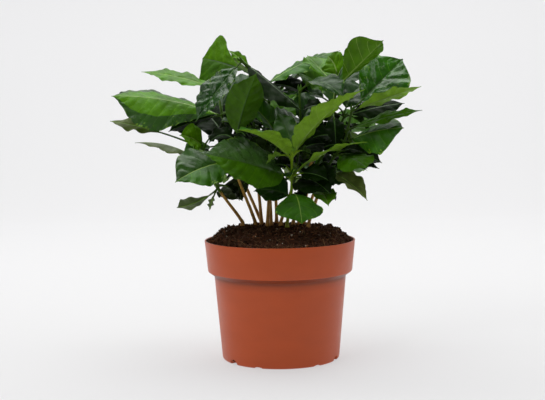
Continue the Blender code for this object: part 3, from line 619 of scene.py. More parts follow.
WALL_COLOUR = (0.84, 0.84, 0.85)


# Shared helpers
def linear(*bytes_):
    """An sRGB colour given in bytes as linear values."""
    shares = [b / 255 for b in bytes_]
    return tuple(s / 12.92 if s <= 0.04045 else ((s + 0.055) / 1.055) ** 2.4 for s in shares)


def smooth_step(low, high, value):
    t = np.clip((value - low) / (high - low), 0, 1)
    return t * t * (3 - 2 * t)


def add_object(name, data):
    made = bpy.data.objects.new(name, data)
    bpy.context.scene.collection.objects.link(made)
    return made


def mesh_object(name, vertices, faces, materials, indices=None, smooth=True):
    """An object from lists of vertices, mixed faces and their material numbers."""
    mesh = bpy.data.meshes.new(name)
    mesh.from_pydata(np.asarray(vertices, dtype=float).tolist(), [], faces)
    for finish in materials:
        mesh.materials.append(finish)
    if indices is not None:
        mesh.polygons.foreach_set("material_index", np.asarray(indices, dtype=np.int32))
    mesh.polygons.foreach_set("use_smooth", np.full(len(mesh.polygons), smooth))
    mesh.update()
    return add_object(name, mesh)


class Heap:
    """Collects vertices, faces and material numbers of many small shapes for one mesh."""

    def __init__(self):
        self.vertices, self.faces, self.indices, self.count = [], [], [], 0

    def add(self, vertices, faces, index):
        self.vertices.append(np.asarray(vertices, dtype=float).reshape(-1, 3))
        faces = np.asarray(faces)
        self.faces.extend((faces + self.count).tolist())
        self.indices.extend(np.broadcast_to(index, len(faces)).tolist())
        self.count += len(self.vertices[-1])

    def build(self, name, materials, smooth=True):
        return mesh_object(name, np.concatenate(self.vertices), self.faces, materials, self.indices, smooth)


def grid_faces(rows, columns, closed=False):
    """Quads of a grid of vertices numbered row by row; `closed` joins the last column to the first."""
    i = np.arange(rows - 1)[:, None]
    j = np.arange(columns if closed else columns - 1)[None, :]
    k = (j + 1) % columns
    corners = (i * columns + j, i * columns + k, (i + 1) * columns + k, (i + 1) * columns + j)
    return np.stack([np.broadcast_to(c, (rows - 1, j.shape[1])) for c in corners], axis=-1).reshape(-1, 4)


def end_fans(rows, columns):
    """Triangles that close both ends of such a joined grid, round two points numbered after its own."""
    last, middle = (rows - 1) * columns, rows * columns
    ring = [(k, (k + 1) % columns) for k in range(columns)]
    return [[b, a, middle] for a, b in ring] + [[last + a, last + b, middle + 1] for a, b in ring]


# Finishes
class Finish:
    """A node material in the making, with short ways to add the nodes that the finishes share."""

    def __init__(self, name, colour, roughness, gloss=0.5):
        self.material = bpy.data.materials.new(name)
        self.material.use_nodes = True
        self.material.diffuse_color = (*colour, 1.0)
        self.nodes, self.links = self.material.node_tree.nodes, self.material.node_tree.links
        self.shader = self.nodes["Principled BSDF"]
        self.shader.inputs["Base Color"].default_value = (*colour, 1.0)
        self.shader.inputs["Roughness"].default_value = roughness
        self.shader.inputs["Specular IOR Level"].default_value = gloss
        self.colour = colour
        self.place = self.nodes.new("ShaderNodeTexCoord").outputs["Object"]

    def feed(self, socket, value):
        self.links.new(value, self.shader.inputs[socket])

    def node(self, kind, inputs, output, **settings):
        """Add a node, set or link its inputs, and return one of its outputs."""
        made = self.nodes.new(kind)
        for setting, value in settings.items():
            setattr(made, setting, value)
        for socket, value in inputs.items():
            if isinstance(value, bpy.types.NodeSocket):
                self.links.new(value, made.inputs[socket])
            else:
                made.inputs[socket].default_value = value
        return made.outputs[output]

    def noise(self, scale, detail=3.0, roughness=0.55, stretch=None):
        place = self.place
        if stretch:
            place = self.node("ShaderNodeMapping", {"Vector": place, "Scale": stretch}, "Vector")
        form = {"Vector": place, "Scale": scale, "Detail": detail, "Roughness": roughness}
        return self.node("ShaderNodeTexNoise", form, "Fac")

    def axis(self, name):
        return self.node("ShaderNodeSeparateXYZ", {"Vector": self.place}, name)

    def sum(self, a, b, share=1.0):
        """The first value times its share, plus the second."""
        return self.node("ShaderNodeMath", {0: a, 1: share, 2: b}, "Value", operation="MULTIPLY_ADD")

    def span(self, value, found, wanted=(0.0, 1.0)):
        """The value, which runs through one range, carried over to another."""
        ends = zip(("From Min", "From Max", "To Min", "To Max"), (*found, *wanted))
        return self.node("ShaderNodeMapRange", {"Value": value, **dict(ends)}, "Result")

    def ramp(self, value, *stops):
        """The colour at a value, between stops that each have a position and a colour."""
        made = self.nodes.new("ShaderNodeValToRGB")
        elements = made.color_ramp.elements
        for position, _ in stops[1:-1]:
            elements.new(position)
        for element, (position, colour) in zip(elements, stops):
            element.position = position
            element.color = (*colour, 1.0)
        self.links.new(value, made.inputs["Fac"])
        return made.outputs["Color"]

    def product(self, a, b):
        """Two colours, multiplied."""
        return self.node("ShaderNodeMix", {0: 1.0, 6: a, 7: b}, 2, data_type="RGBA", blend_type="MULTIPLY")

    def mottled(self, value, low, high):
        """The colour, wavering between low and high times itself."""
        ends = [[min(1.0, c * share) for c in self.colour] for share in (low, high)]
        return self.ramp(value, *zip(MOTTLE_STOPS, ends))

    def bump(self, value, depth):
        self.feed("Normal", self.node("ShaderNodeBump", {"Height": value, "Distance": depth}, "Normal"))


def leaf_finish(name, colour, roughness, gloss, crinkle):
    """Waxy leaf skin: a hint of mottling, and a crinkled surface that breaks the sheen up into glints."""
    made = Finish(name, colour, roughness, gloss)
    patches = made.span(made.noise(scale=240.0), NOISE_SPAN, (roughness - 0.05, roughness + 0.08))
    made.feed("Base Color", made.mottled(made.noise(scale=85.0), low=0.74, high=1.30))
    made.feed("Roughness", patches)
    made.bump(made.noise(scale=230.0, detail=4.0, roughness=0.6), crinkle)
    return made.material


def leaf_finishes():
    """Every finish that a blade uses, by name."""
    made = {}
    for name, shade in SHADES.items():
        crinkle = CRINKLE * shade.quilt
        for part, colour, dullness in (("leaf_", shade.blade, 0.0), ("vein_", shade.vein, VEIN_DULLNESS)):
            made[part + name] = leaf_finish(part + name, linear(*colour), shade.roughness + dullness,
                                            shade.gloss, crinkle)
        made["under_" + name] = underside_finish("under_" + name, linear(*shade.under))
    for name, colour in RIB_SHADES.items():
        made[name] = leaf_finish(name, linear(*colour), RIB_ROUGHNESS, RIB_GLOSS, RIB_CRINKLE)
    return made


def underside_finish(name, colour):
    made = Finish(name, colour, roughness=0.55, gloss=0.2)
    made.feed("Base Color", made.mottled(made.noise(scale=130.0), low=0.80, high=1.20))
    made.bump(made.noise(scale=260.0), depth=0.0005)
    return made.material


def shoot_finish(name, colour):
    made = Finish(name, colour, roughness=0.42, gloss=0.2)
    streaks = made.noise(scale=260.0, stretch=(1, 1, 0.25))
    made.feed("Base Color", made.mottled(streaks, low=0.75, high=1.25))
    made.bump(made.noise(scale=700.0, stretch=(1, 1, 0.2)), depth=0.0001)
    return made.material


def bark_finish(name, colours, heights):
    """Bark that turns from one colour to the other between two heights, with long dark streaks."""
    low, high = (linear(*colour) for colour in colours)
    made = Finish(name, low, roughness=0.62)
    streak = made.noise(scale=900.0, detail=4.0, stretch=(1, 1, 0.12))
    height = made.span(made.sum(streak, made.axis("Z"), share=0.016), heights)
    shade = made.ramp(streak, (0.36, STREAK_TINT), (0.62, (1.0, 1.0, 1.0)))
    made.feed("Base Color", made.product(made.ramp(height, (0.0, low), (1.0, high)), shade))
    made.bump(streak, depth=0.00025)
    return made.material


def pot_finish():
    """Moulded clay-coloured plastic: fine flow grain, a satin skin, and painted shade in the corner under
    the collar.
    """
    made = Finish("pot_plastic", linear(*POT_COLOUR), roughness=0.38, gloss=0.42)
    clay = made.mottled(made.noise(scale=38.0, detail=5.0, stretch=(1, 1, 2.2)), low=0.97, high=1.04)
    # painted shade: the wall darkens just below the collar, where the collar's shadow falls
    corner = made.span(made.axis("Z"), (COLLAR_SHADE_FROM, COLLAR_FOOT_HEIGHT))
    collar_shade = made.ramp(corner, *((position, 3 * (tint,)) for position, tint in COLLAR_SHADE_TINTS))
    made.feed("Base Color", made.product(clay, collar_shade))
    made.feed("Roughness", made.span(made.noise(scale=60.0, detail=4.0), NOISE_SPAN, wanted=(0.34, 0.46)))
    made.bump(made.noise(scale=1500.0, detail=2.0), depth=0.00005)
    return made.material


def earth_finish(name, colour, low=0.6, high=1.5):
    made = Finish(name, linear(*colour), roughness=0.92, gloss=0.2)
    made.feed("Base Color", made.mottled(made.noise(scale=420.0, detail=4.0), low, high))
    made.bump(made.noise(scale=1400.0), depth=0.0004)
    return made.material


def paper_finish():
    """Pale paper, lit a little from within so that shadows on it stay light."""
    made = Finish("studio_paper", PAPER_COLOUR, roughness=0.8, gloss=0.1)
    made.shader.inputs["Emission Color"].default_value = (*PAPER_GLOW_COLOUR, 1.0)
    reach = made.sum(made.axis("Y"), made.axis("Z"))
    made.feed("Emission Strength", made.span(reach, PAPER_SPAN, PAPER_GLOW))
    return made.material


# Leaves
def blade_rows(length):
    """Count of side veins; then each row's place on the midrib and relief, and which strips are veins."""
    count = max(FEWEST_VEINS, round(length / VEIN_SPACING))
    half_strip = min(WIDEST_VEIN, 0.5 * VEIN_WIDTH * count / length)
    rows, relief = [], []
    for k in range(count):
        for f in (half_strip if k else 0.0, *VEIN_STEPS, 1 - half_strip if k < count - 1 else 1.0):
            rows.append((k + f) / count)
            between = half_strip < f < 1 - half_strip
            relief.append(math.sin(math.pi * f) ** PILLOW_BLUNTNESS if between else 0.0)
    per = len(VEIN_STEPS) + 2
    veins = np.array([(i + 1) % per == 0 for i in range(len(rows) - 1)])
    return count, np.array(rows), np.array(relief), veins


def fine_blade(root, leaf, phase, hand, quilt):
    """Upper and lower points of one half of a blade, in rows that follow its side veins."""
    length = leaf.length - leaf.stalk
    count, rows, relief, veins = blade_rows(length)
    start = leaf.stalk / leaf.length
    swing = VEIN_SWEEP * leaf.width / 2 / length * blade_profile(rows, leaf.widest)
    at_margin = np.clip(np.maximum.accumulate(rows + swing), 0, 1)
    at_margin[-1] = 1.0
    w = np.array(ACROSS)[None, :]
    u = rows[:, None] + (at_margin - rows)[:, None] * w * (1 - VEIN_CURVE + VEIN_CURVE * w)
    t = start + (1 - start) * u
    points, sides, normals = (a.reshape(*t.shape, 3) for a in leaf_frame(root, leaf, t.ravel()))

    shape = blade_profile(np.clip(u, 0, 1), leaf.widest)
    end = (PETIOLE_RADIUS - TIP_HALF_WIDTH) * (1 - smooth_step(TIP_FROM, 1.0, u))
    half = np.maximum(leaf.width / 2 * shape, TIP_HALF_WIDTH + end * (1 - smooth_step(0.0, BASE_TO, u)))
    rib = np.minimum(RIB_HALF_WIDTH * (RIB_START - RIB_TAPER * u), RIB_SHARE * half)
    out = rib + w * (half - rib)
    s = out / half
    wide = smooth_step(0.0, NARROW_HALF, half)

    pillow = quilt * (length / count) * relief[:, None] * (1 - np.exp(-w / PILLOW_RISE))
    pillow = pillow * (1 - PILLOW_FADE * w ** 2) * wide
    wave = WAVE_HEIGHT * shape * np.sin(math.tau * WAVES_PER_BLADE * u + phase + hand) * s ** WAVE_POWER
    often, swell = RIPPLE_SWELLS
    ripple = MARGIN_RIPPLE * min(1, leaf.width / RIPPLE_WIDTH) * w ** RIPPLE_POWER * wide
    ripple = ripple * np.cos(math.tau * rows * count)[:, None]
    ripple = ripple * (1 + swell * np.sin(often * math.tau * u + 2 * phase + hand))
    crumple = sum(share * np.sin(along * length * u + phase * k) * np.sin(across * out + hand * phase + k)
                  for k, (along, across, share) in enumerate(CRUMPLE_WAVES, 1))
    crumple = CRUMPLE * quilt * crumple * (1 - np.exp(-w / CRUMPLE_RISE)) * wide

    fold = math.radians(leaf.fold)
    lift = out * math.sin(fold) + CAMBER * half * (s - s ** 2) + pillow + wave - ripple + crumple
    upper = points + (hand * math.cos(fold) * out)[..., None] * sides + lift[..., None] * normals
    thick = LEAF_THICKNESS * (1 - w ** EDGE_POWER) * np.ones_like(u)
    lower = upper - thick[..., None] * normals
    return upper, lower, points, normals, u, veins


def tones(shade):
    """Shades beside the midrib and along the margin."""
    inner, _, outer = shade.partition("/")
    return inner, outer or inner


def add_leaf(heap, slots, root, leaf, phase, shades):
    """One whole blade: both halves above and below, and the rib between them."""
    edges = {}
    rib = "rib" if tones(shades[0])[0] in BRIGHT_RIBS else "rib_dim"
    for hand, shade in zip((-1, 1), shades):
        inner, outer = tones(shade)
        upper, lower, points, normals, u, veins = fine_blade(root, leaf, phase, hand, SHADES[inner].quilt)
        rows, columns = u.shape
        faces = grid_faces(rows, columns)
        vein_faces = np.repeat(veins, columns - 1)
        margin = np.tile(np.array(ACROSS[1:]) > MARGIN_FROM, rows - 1)
        blade, vein, under = (np.where(margin, slots[part + outer], slots[part + inner])
                              for part in ("leaf_", "vein_", "under_"))
        heap.add(upper, faces if hand < 0 else faces[:, ::-1], np.where(vein_faces, vein, blade))
        heap.add(lower, faces[:, ::-1] if hand < 0 else faces, np.where(vein_faces, slots[rib], under))
        edges[hand] = (upper[:, 0], lower[:, 0])
        middle, normal, share = points[:, 0], normals[:, 0], u[:, 0]
    for level, depth, flip in ((0, RIB_GROOVE, False), (1, RIB_DEPTH, True)):
        centre = middle - (depth * (KEEL_START - RIB_TAPER * share))[:, None] * normal
        strip = np.stack((edges[-1][level], centre, edges[1][level]), axis=1)
        faces = grid_faces(len(strip), 3)
        heap.add(strip, faces if flip else faces[:, ::-1], slots[rib])


def leaf_shades():
    """Shade of each wanted leaf that the tables name, by its number among all wanted leaves."""
    shades = {}
    front, behind = 0, sum(len(s.leaves) for s in SEEDLINGS)
    for seedling in SEEDLINGS:
        more = len(BEHIND.get(seedling.name, ()))
        numbers = (*range(front, front + len(seedling.leaves)), *range(behind, behind + more))
        for number in numbers:
            shades[number] = BEHIND_SHADES[number % len(BEHIND_SHADES)]
        shades.update(zip(numbers, LEAF_SHADES.get(seedling.name, ())))
        front += len(seedling.leaves)
        behind += more
    return shades


def make_leaves(number, grown, shades, finishes):
    """All blades of one seedling, each with the shades of its two halves."""
    pairs = []
    for entry in grown:
        shade = shades.get(entry.number, INNER_SHADES[entry.number % len(INNER_SHADES)])
        pairs.append(shade if isinstance(shade, tuple) else (shade, shade))
    used = sorted({f"{part}_{tone}" for pair in pairs for half in pair for tone in tones(half)
                   for part in ("leaf", "vein", "under")}) + list(RIB_SHADES)
    slots = {name: i for i, name in enumerate(used)}
    heap = Heap()
    for entry, pair in zip(grown, pairs):
        add_leaf(heap, slots, entry.root, entry.leaf, entry.phase, pair)
    return heap.build(f"leaves_{number}", [finishes[name] for name in used])


# Shoots and bark
def add_tube(heap, points, radii, sides, index):
    """A round tube along a path, closed by a fan at either end; a radius may be one for each side."""
    points = np.asarray(points)
    tangents = np.gradient(points, axis=0)
    tangents /= np.linalg.norm(tangents, axis=1)[:, None]
    a = unit(np.cross(tangents[0], ASKEW))
    angle = math.tau * np.arange(sides)[:, None] / sides
    rings = []
    for point, along, radius in zip(points, tangents, radii):
        a = unit(a - (a @ along) * along)
        b = np.cross(along, a)
        rings.append(point + np.reshape(radius, (-1, 1)) * (np.cos(angle) * a + np.sin(angle) * b))
    fans = np.array(end_fans(len(points), sides)) + heap.count
    heap.add(np.concatenate((*rings, points[:1], points[-1:])), grid_faces(len(points), sides, closed=True),
             index)
    heap.faces.extend(fans.tolist())
    heap.indices.extend([index] * len(fans))


def add_petiole(heap, root, leaf, index):
    """The stalk from its swollen foot on the stem to the blade's base."""
    steps = np.linspace(0, 1, PETIOLE_STEPS)
    reach = PETIOLE_LENGTH * (leaf.stalk / leaf.length)
    points, _, _ = leaf_frame(root, leaf, np.linspace(0, reach, PETIOLE_STEPS))
    swelling, fade = STALK_FOOT
    add_tube(heap, points, STALK_RADIUS + swelling * np.exp(-steps / fade) - STALK_TAPER * steps, TUBE_SIDES,
             index)


def add_bud(heap, tip, along, index):
    """Two folded scales that stand at the top of a shoot."""
    side = unit(np.cross(along, BUD_ASKEW))
    steps = np.linspace(0, 1, BUD_STEPS)
    first, stretch = BUD_SHAPE
    radii = BUD_RADIUS * np.sin(math.pi * (first + stretch * steps)) + BUD_POINT
    for hand in (-1, 1):
        aside = hand * BUD_SPREAD * np.sin(steps * BUD_CURL)
        add_tube(heap, tip + steps[:, None] * BUD_LENGTH * along + aside[:, None] * side, radii, BUD_SIDES,
                 index)


def points_at(path, measures, marks):
    """Points of a path at the given marks, where `measures` has the mark of each of its own points."""
    return np.stack([np.interp(marks, measures, path[:, k]) for k in range(3)], axis=1)


def resample(path, step):
    lengths = np.concatenate(([0.0], np.cumsum(np.linalg.norm(np.diff(path, axis=0), axis=1))))
    return points_at(path, lengths, np.linspace(0, lengths[-1], max(3, round(lengths[-1] / step) + 1)))


def cut_path(path, low, high):
    """The part of a path between two heights."""
    heights = path[:, 2]
    inside = path[(heights > low) & (heights < high)]
    foot, head = points_at(path, heights, (low, high))
    return np.vstack((foot, inside, head))


def make_shoot(number, seedling, path, grown, finishes):
    """Upper stem with a knuckle at every node, the leaf stalks and the bud."""
    heap = Heap()
    top, tall = path[-1][2], path[-1][2] - path[0][2]
    low = min(seedling.nodes[0][2] - BARE_BELOW_NODE + GAP, top - SHORTEST_SHOOT)
    points = resample(cut_path(path, low, top), SHOOT_STEP)
    radii = np.array([radius_at(p[2] - path[0][2], tall) for p in points])
    swelling, reach = KNUCKLE
    for node in seedling.nodes:
        distance = np.linalg.norm(points - np.array(node), axis=1)
        radii = radii * (1 + swelling * np.exp(-(distance / reach) ** 2))
    add_tube(heap, points, radii, TUBE_SIDES, 0)
    add_bud(heap, points[-1], unit(points[-1] - points[-4]), 1)
    for entry in grown:
        add_petiole(heap, entry.root, entry.leaf, 0)
    return heap.build(f"shoot_{number}", finishes)


def make_bark(number, path, finish):
    """The bare stem, ridged and flared at its foot."""
    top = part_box(f"stem_{number}")[1][2]
    tall = path[-1][2] - path[0][2]
    points = resample(cut_path(path, path[0][2], min(top, path[-1][2])), BARK_STEP)
    angles = math.tau * np.arange(BARK_SIDES) / BARK_SIDES
    around, along, ridge = BARK_RIDGES
    swelling_along, swelling = BARK_SWELLINGS
    rings = []
    for point in points:
        z = point[2]
        ridges = [noise.noise(Vector((around * math.cos(a), around * math.sin(a),
                                      along * z + BARK_SHIFT * number))) for a in angles]
        swell = noise.noise(Vector((number, 0, swelling_along * z)))
        rings.append(radius_at(z - path[0][2], tall) * (1 + ridge * np.array(ridges) + swelling * swell))
    heap = Heap()
    add_tube(heap, points, rings, BARK_SIDES, 0)
    return heap.build(f"bark_{number}", [finish])


# Pot and soil
def turned(name, profile, segments, finish):
    """Revolve a profile of (radius, height) points about Z; its ends lie on the axis."""
    ring = np.array(profile[1:-1])
    angle = math.tau * np.arange(segments) / segments
    vertices = np.stack((ring[:, :1] * np.cos(angle), ring[:, :1] * np.sin(angle),
                         np.broadcast_to(ring[:, 1:], (len(ring), segments))), axis=-1).reshape(-1, 3)
    ends = [(0.0, 0.0, profile[end][1]) for end in (0, -1)]
    faces = grid_faces(len(ring), segments, closed=True).tolist() + end_fans(len(ring), segments)
    return mesh_object(name, np.vstack((vertices, ends)), faces, [finish])


def round_corner(before, corner, after, radius):
    """Points that round a profile's corner off."""
    before, corner, after = (np.array(p, dtype=float) for p in (before, corner, after))
    start, end = corner + radius * unit(before - corner), corner + radius * unit(after - corner)
    return [tuple((1 - t) ** 2 * start + 2 * (1 - t) * t * corner + t * t * end)
            for t in np.linspace(0, 1, ROUND_STEPS)]


def pot_profile():
    """Outline of the pot from the middle of its inner floor, over the lip, to the middle of its foot."""
    bends = (
        ((0.0, POT_FLOOR), None),
        ((POT_BASE_RADIUS - POT_WALL - FLOOR_INSET, POT_FLOOR), FOOT_ROUND),
        ((SHOULDER_RADIUS - POT_WALL, SHOULDER_HEIGHT + POT_WALL / 2), INNER_ROUND),
        ((COLLAR_FOOT_RADIUS - POT_WALL, COLLAR_FOOT_HEIGHT + POT_WALL / 2), INNER_ROUND),
        ((POT_RIM_RADIUS - POT_WALL, POT_HEIGHT), POT_LIP_ROUND),
        ((POT_RIM_RADIUS, POT_HEIGHT), POT_LIP_ROUND),
        ((COLLAR_FOOT_RADIUS, COLLAR_FOOT_HEIGHT), COLLAR_ROUND),
        ((SHOULDER_RADIUS, SHOULDER_HEIGHT), SHOULDER_ROUND),
        ((POT_BASE_RADIUS, 0.0), FOOT_ROUND),
        ((0.0, 0.0), None))
    profile = [bends[0][0]]
    for (before, _), (corner, radius), (after, _) in zip(bends, bends[1:], bends[2:]):
        profile += round_corner(before, corner, after, radius)
    return profile + [bends[-1][0]]


def notch(azimuth, width, height):
    """A round-topped drain notch through the foot of the pot's wall."""
    angle = math.radians(azimuth)
    bpy.ops.mesh.primitive_cylinder_add(vertices=NOTCH_SEGMENTS, radius=0.5, depth=1.0, end_fill_type="NGON")
    cutter = bpy.context.object
    cutter.scale = (2 * height, width, 2 * NOTCH_DEPTH)
    cutter.rotation_euler = (0.0, math.radians(90), angle)
    cutter.location = (POT_BASE_RADIUS * math.cos(angle), POT_BASE_RADIUS * math.sin(angle), 0.0)
    return cutter


def make_pot(finish):
    pot = turned("pot_shell", pot_profile(), POT_SEGMENTS, finish)
    cutters = []
    for n in range(NOTCH_COUNT):
        azimuth = NOTCH_AZIMUTH + 360.0 * n / NOTCH_COUNT
        cutters.append(notch(azimuth, NOTCH_WIDTH, NOTCH_HEIGHT))
        for hand in (-1, 1):
            cutters.append(notch(azimuth + hand * SMALL_NOTCH_OFFSET, SMALL_NOTCH_WIDTH, SMALL_NOTCH_HEIGHT))
    for cutter in cutters:
        cut = pot.modifiers.new("Notch", "BOOLEAN")
        cut.operation = "DIFFERENCE"
        cut.solver = "EXACT"
        cut.object = cutter
    graph = bpy.context.evaluated_depsgraph_get()
    mesh = bpy.data.meshes.new_from_object(pot.evaluated_get(graph), depsgraph=graph)
    pot.modifiers.clear()
    pot.data = mesh
    for cutter in cutters:
        bpy.data.objects.remove(cutter)
    mesh.polygons.foreach_set("use_smooth", np.full(len(mesh.polygons), True))
    mesh.set_sharp_from_angle(angle=math.radians(POT_SHARP_ANGLE))
    return pot


def soil_height(x, y):
    """Level of the loose soil: a rough heap that slopes down to the front lip."""
    back = HEAP_FRONT_SHARE + (1 - HEAP_FRONT_SHARE) * smooth_step(*HEAP_FRONT, y)
    heap = back * (1 - smooth_step(*HEAP_EDGE, math.hypot(x, y)))
    lumps = sum(share * math.sin(a * x + b * y + phase) for a, b, phase, share in LUMP_WAVES)
    return SOIL_RIM_LEVEL + SOIL_HEAP * heap + SOIL_LUMP * lumps * min(1.0, heap / LUMPS_FULL_AT)


def ground(x, y):
    """The soil's level with its grain."""
    grain = sum(share * noise.noise(Vector((x, y, layer)) * scale) for scale, layer, share in GRAIN_WAVES)
    return soil_height(x, y) + SOIL_GRAIN * grain


def make_soil(finish):
    """The heap inside the pot, its surface broken up into grains."""
    inner = POT_WALL + GAP
    profile = [(0.0, POT_FLOOR + GAP), (POT_BASE_RADIUS - inner - SOIL_FOOT_INSET, POT_FLOOR + GAP),
               (SHOULDER_RADIUS - inner, SHOULDER_HEIGHT + POT_WALL / 2),
               (COLLAR_FOOT_RADIUS - inner, COLLAR_FOOT_HEIGHT + POT_WALL / 2 + GAP)]
    edge = POT_RIM_RADIUS - POT_WALL - SOIL_EDGE_INSET
    rings = [(edge * (1 - k / SOIL_RINGS), SOIL_RIM_LEVEL) for k in range(SOIL_RINGS)]
    soil = turned("soil_heap", profile + rings + [(0.0, SOIL_RIM_LEVEL)], SOIL_SEGMENTS, finish)
    for vertex in soil.data.vertices:
        x, y, z = vertex.co
        if z > SOIL_RIM_LEVEL - GAP:
            vertex.co.z = ground(x, y)
    soil.data.update()
    return soil


def crumb_shape(subdivisions):
    work = bmesh.new()
    bmesh.ops.create_icosphere(work, subdivisions=subdivisions, radius=1.0)
    vertices = np.array([v.co for v in work.verts])
    faces = np.array([[v.index for v in f.verts] for f in work.faces])
    work.free()
    return vertices, faces


def turn_at_random(rng):
    """A rotation matrix from a random unit quaternion."""
    a, b, c, d = unit(rng.normal(size=4))
    return np.array(((1 - 2 * (c * c + d * d), 2 * (b * c - a * d), 2 * (b * d + a * c)),
                     (2 * (b * c + a * d), 1 - 2 * (b * b + d * d), 2 * (c * d - a * b)),
                     (2 * (b * d - a * c), 2 * (c * d + a * b), 1 - 2 * (b * b + c * c))))


def place_on_soil(rng):
    reach, angle = SOIL_REACH * math.sqrt(rng.random()), math.tau * rng.random()
    x, y = reach * math.cos(angle), reach * math.sin(angle)
    return np.array((x, y, ground(x, y)))


def random_form(rng, form):
    length, breadth, thickness = form
    return np.array((length, rng.uniform(*breadth), rng.uniform(*thickness)))


def make_crumbs(finishes):
    """Lumps of peat, bits of bark and dust that lie on the heap."""
    rng = np.random.default_rng(SOIL_SEED)
    heap = Heap()
    names = list(finishes)
    coarse, fine = crumb_shape(1), crumb_shape(2)
    for name, (count, least, most) in CRUMBS.items():
        for _ in range(count):
            size = least + (most - least) * rng.random() ** SMALL_CRUMBS
            vertices, faces = fine if size > FINE_CRUMB else coarse
            form = random_form(rng, CRUMB_FORM)
            if name == "bark_bit":
                form = random_form(rng, CHIP_FORM)
            rough = vertices * form * (1 + CRUMB_ROUGHNESS * rng.normal(size=(len(vertices), 1)))
            place = place_on_soil(rng) + (0, 0, CRUMB_RISE * size)
            heap.add(place + size * rough @ turn_at_random(rng).T, faces, names.index(name))
    return heap.build("soil_crumbs", list(finishes.values()), smooth=False)


def make_fibres(finishes):
    rng = np.random.default_rng(SOIL_SEED + 1)
    heap = Heap()
    steps = np.linspace(-0.5, 0.5, FIBRE_POINTS)
    for _ in range(FIBRE_COUNT):
        start = place_on_soil(rng)
        bearing, length = math.tau * rng.random(), rng.uniform(*FIBRE_LENGTH)
        bend = rng.normal() * FIBRE_BEND
        x = start[0] + length * (steps * math.cos(bearing) - bend * steps ** 2 * math.sin(bearing))
        y = start[1] + length * (steps * math.sin(bearing) + bend * steps ** 2 * math.cos(bearing))
        inside = np.minimum(1, FIBRE_EDGE / np.hypot(x, y))
        x, y = x * inside, y * inside
        z = np.array([ground(a, b) for a, b in zip(x, y)]) + rng.uniform(*FIBRE_RISE)
        z += length * rng.normal() * FIBRE_SLOPE * steps
        radii = np.full(FIBRE_POINTS, rng.uniform(*FIBRE_RADIUS))
        add_tube(heap, np.stack((x, y, z), axis=1), radii, FIBRE_SIDES, int(rng.random() < 0.5))
    return heap.build("soil_fibres", finishes)


def make_flecks(finish):
    """A few pale grains among the peat."""
    rng = np.random.default_rng(SOIL_SEED + 2)
    heap = Heap()
    vertices, faces = crumb_shape(2)
    for _ in range(FLECK_COUNT):
        size = rng.uniform(*FLECK_SIZE)
        place = place_on_soil(rng) + (0, 0, FLECK_RISE * size)
        rough = vertices * (1 + FLECK_ROUGHNESS * rng.normal(size=(len(vertices), 1)))
        heap.add(place + size * rough @ turn_at_random(rng).T, faces, 0)
    return heap.build("soil_flecks", [finish], smooth=False)


# Stage
def make_stage():
    """A pale floor that sweeps up into a backdrop."""
    foot = PAPER_BACK - PAPER_BEND
    outline = [(PAPER_FRONT, 0.0), (foot, 0.0)]
    outline += [(foot + PAPER_BEND * math.sin(a), PAPER_BEND * (1 - math.cos(a)))
                for a in np.linspace(0, math.pi / 2, BEND_STEPS)[1:]]
    outline += [(PAPER_BACK, PAPER_TOP)]
    vertices = [(x, y, z) for y, z in outline for x in (-PAPER_SIDE, PAPER_SIDE)]
    sweep = mesh_object("studio_sweep", vertices, grid_faces(len(outline), 2).tolist(), [paper_finish()])


def make_lights():
    for name, (place, aim, size, watts) in LIGHTS.items():
        lamp = bpy.data.lights.new(name, "AREA")
        lamp.shape = "RECTANGLE"
        lamp.size, lamp.size_y = size
        lamp.energy = watts
        made = add_object(name, lamp)
        made.location = place
        made.rotation_euler = (Vector(aim) - Vector(place)).to_track_quat("-Z", "Y").to_euler()


def make_air():
    """The light of the room, and the wall that the camera sees past the paper."""
    world = bpy.data.worlds.new("studio_air")
    world.use_nodes = True
    nodes, links = world.node_tree.nodes, world.node_tree.links
    air = nodes["Background"]
    air.inputs["Color"].default_value = (*AIR_COLOUR, 1.0)
    air.inputs["Strength"].default_value = AIR_LIGHT
    wall = nodes.new("ShaderNodeBackground")
    wall.inputs["Color"].default_value = (*WALL_COLOUR, 1.0)
    seen = nodes.new("ShaderNodeMixShader")
    links.new(nodes.new("ShaderNodeLightPath").outputs["Is Camera Ray"], seen.inputs["Fac"])
    links.new(air.outputs["Background"], seen.inputs[1])
    links.new(wall.outputs["Background"], seen.inputs[2])
    links.new(seen.outputs["Shader"], nodes["World Output"].inputs["Surface"])
    bpy.context.scene.world = world


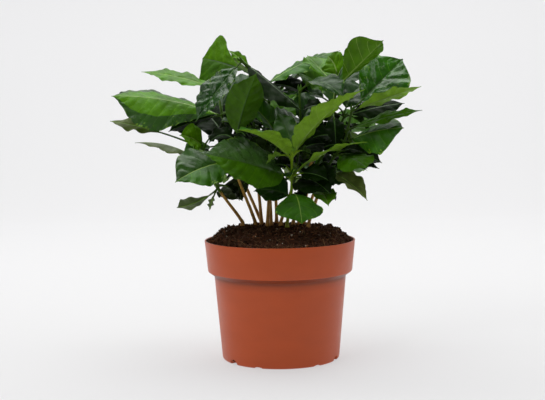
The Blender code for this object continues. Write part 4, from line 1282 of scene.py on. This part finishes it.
def make_camera():
    """The camera fitted to the pot of the photograph, and plain colours for its picture."""
    pitch, yaw, roll = (math.radians(a) for a in (CAMERA_PITCH, CAMERA_YAW, CAMERA_ROLL))
    forward = Vector((math.sin(yaw) * math.cos(pitch), math.cos(yaw) * math.cos(pitch), -math.sin(pitch)))
    right = Vector((math.cos(yaw), -math.sin(yaw), 0.0))
    above = right.cross(forward)
    x_axis = math.cos(roll) * right - math.sin(roll) * above
    y_axis = math.sin(roll) * right + math.cos(roll) * above
    lens = bpy.data.cameras.new("camera")
    lens.sensor_width = SENSOR_WIDTH
    lens.lens = FOCAL_PIXELS * SENSOR_WIDTH / IMAGE_WIDTH
    camera = add_object("camera", lens)
    camera.matrix_world = Matrix((x_axis, y_axis, -forward)).transposed().to_4x4()
    camera.matrix_world.translation = CAMERA_PLACE
    bpy.context.scene.camera = camera
    bpy.context.scene.view_settings.view_transform = "Standard"


def dress(piece, slot, *nodes):
    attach(piece, "root")
    if nodes:
        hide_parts(*nodes)


def dress_pot_and_soil():
    earth = {name: earth_finish("soil_" + name, colour) for name, colour in SOIL_COLOURS.items()}
    fibres = [earth_finish(name, colour, 0.7, 1.4) for name, colour in FIBRE_COLOURS.items()]
    dress(make_pot(pot_finish()), "pot", "pot")
    dress(make_soil(earth["peat"]), "soil", "soil")
    dress(make_crumbs(earth), "soil")
    dress(make_fibres(fibres), "soil")
    dress(make_flecks(earth_finish("pale_fleck", FLECK_COLOUR, 0.9, 1.1)), "soil")


def dress_seedlings():
    """Each seedling gets its bark, its leaves and its shoot."""
    paths = {}
    for number, seedling in enumerate(SEEDLINGS, 1):
        soil_level = round(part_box(f"stem_{number}")[0][2], LEVEL_DECIMALS)
        paths[seedling.name] = stem_path(seedling, soil_level)
    grown = grow(paths)
    finishes, shades = leaf_finishes(), leaf_shades()
    bark = bark_finish("stem_bark", STEM_COLOURS, STEM_GREENING)
    front_bark = bark_finish("stem_bark_green", FRONT_STEM_COLOURS, FRONT_STEM_GREENING)
    # shoots other than the front one are darker, a painted shade
    shoot, front_shoot = ([shoot_finish(name + part, linear(*colour))
                           for part, colour in zip(("shoot", "bud"), colours)]
                          for name, colours in (("shaded_", SHADED_SHOOT_COLOURS), ("front_", FRONT_SHOOT_COLOURS)))
    for number, seedling in enumerate(SEEDLINGS, 1):
        front = seedling.name == "front"
        path = paths[seedling.name]
        mine = [entry for entry in grown if entry.seedling is seedling]
        dress(make_bark(number, path, front_bark if front else bark), "stem", f"stem_{number}")
        dress(make_leaves(number, mine, shades, finishes), "foliage", f"foliage_{number}")
        dress(make_shoot(number, seedling, path, mine, front_shoot if front else shoot), "foliage")


def main():
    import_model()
    dress_pot_and_soil()
    dress_seedlings()
    make_stage()
    make_lights()
    make_air()
    make_camera()


main()
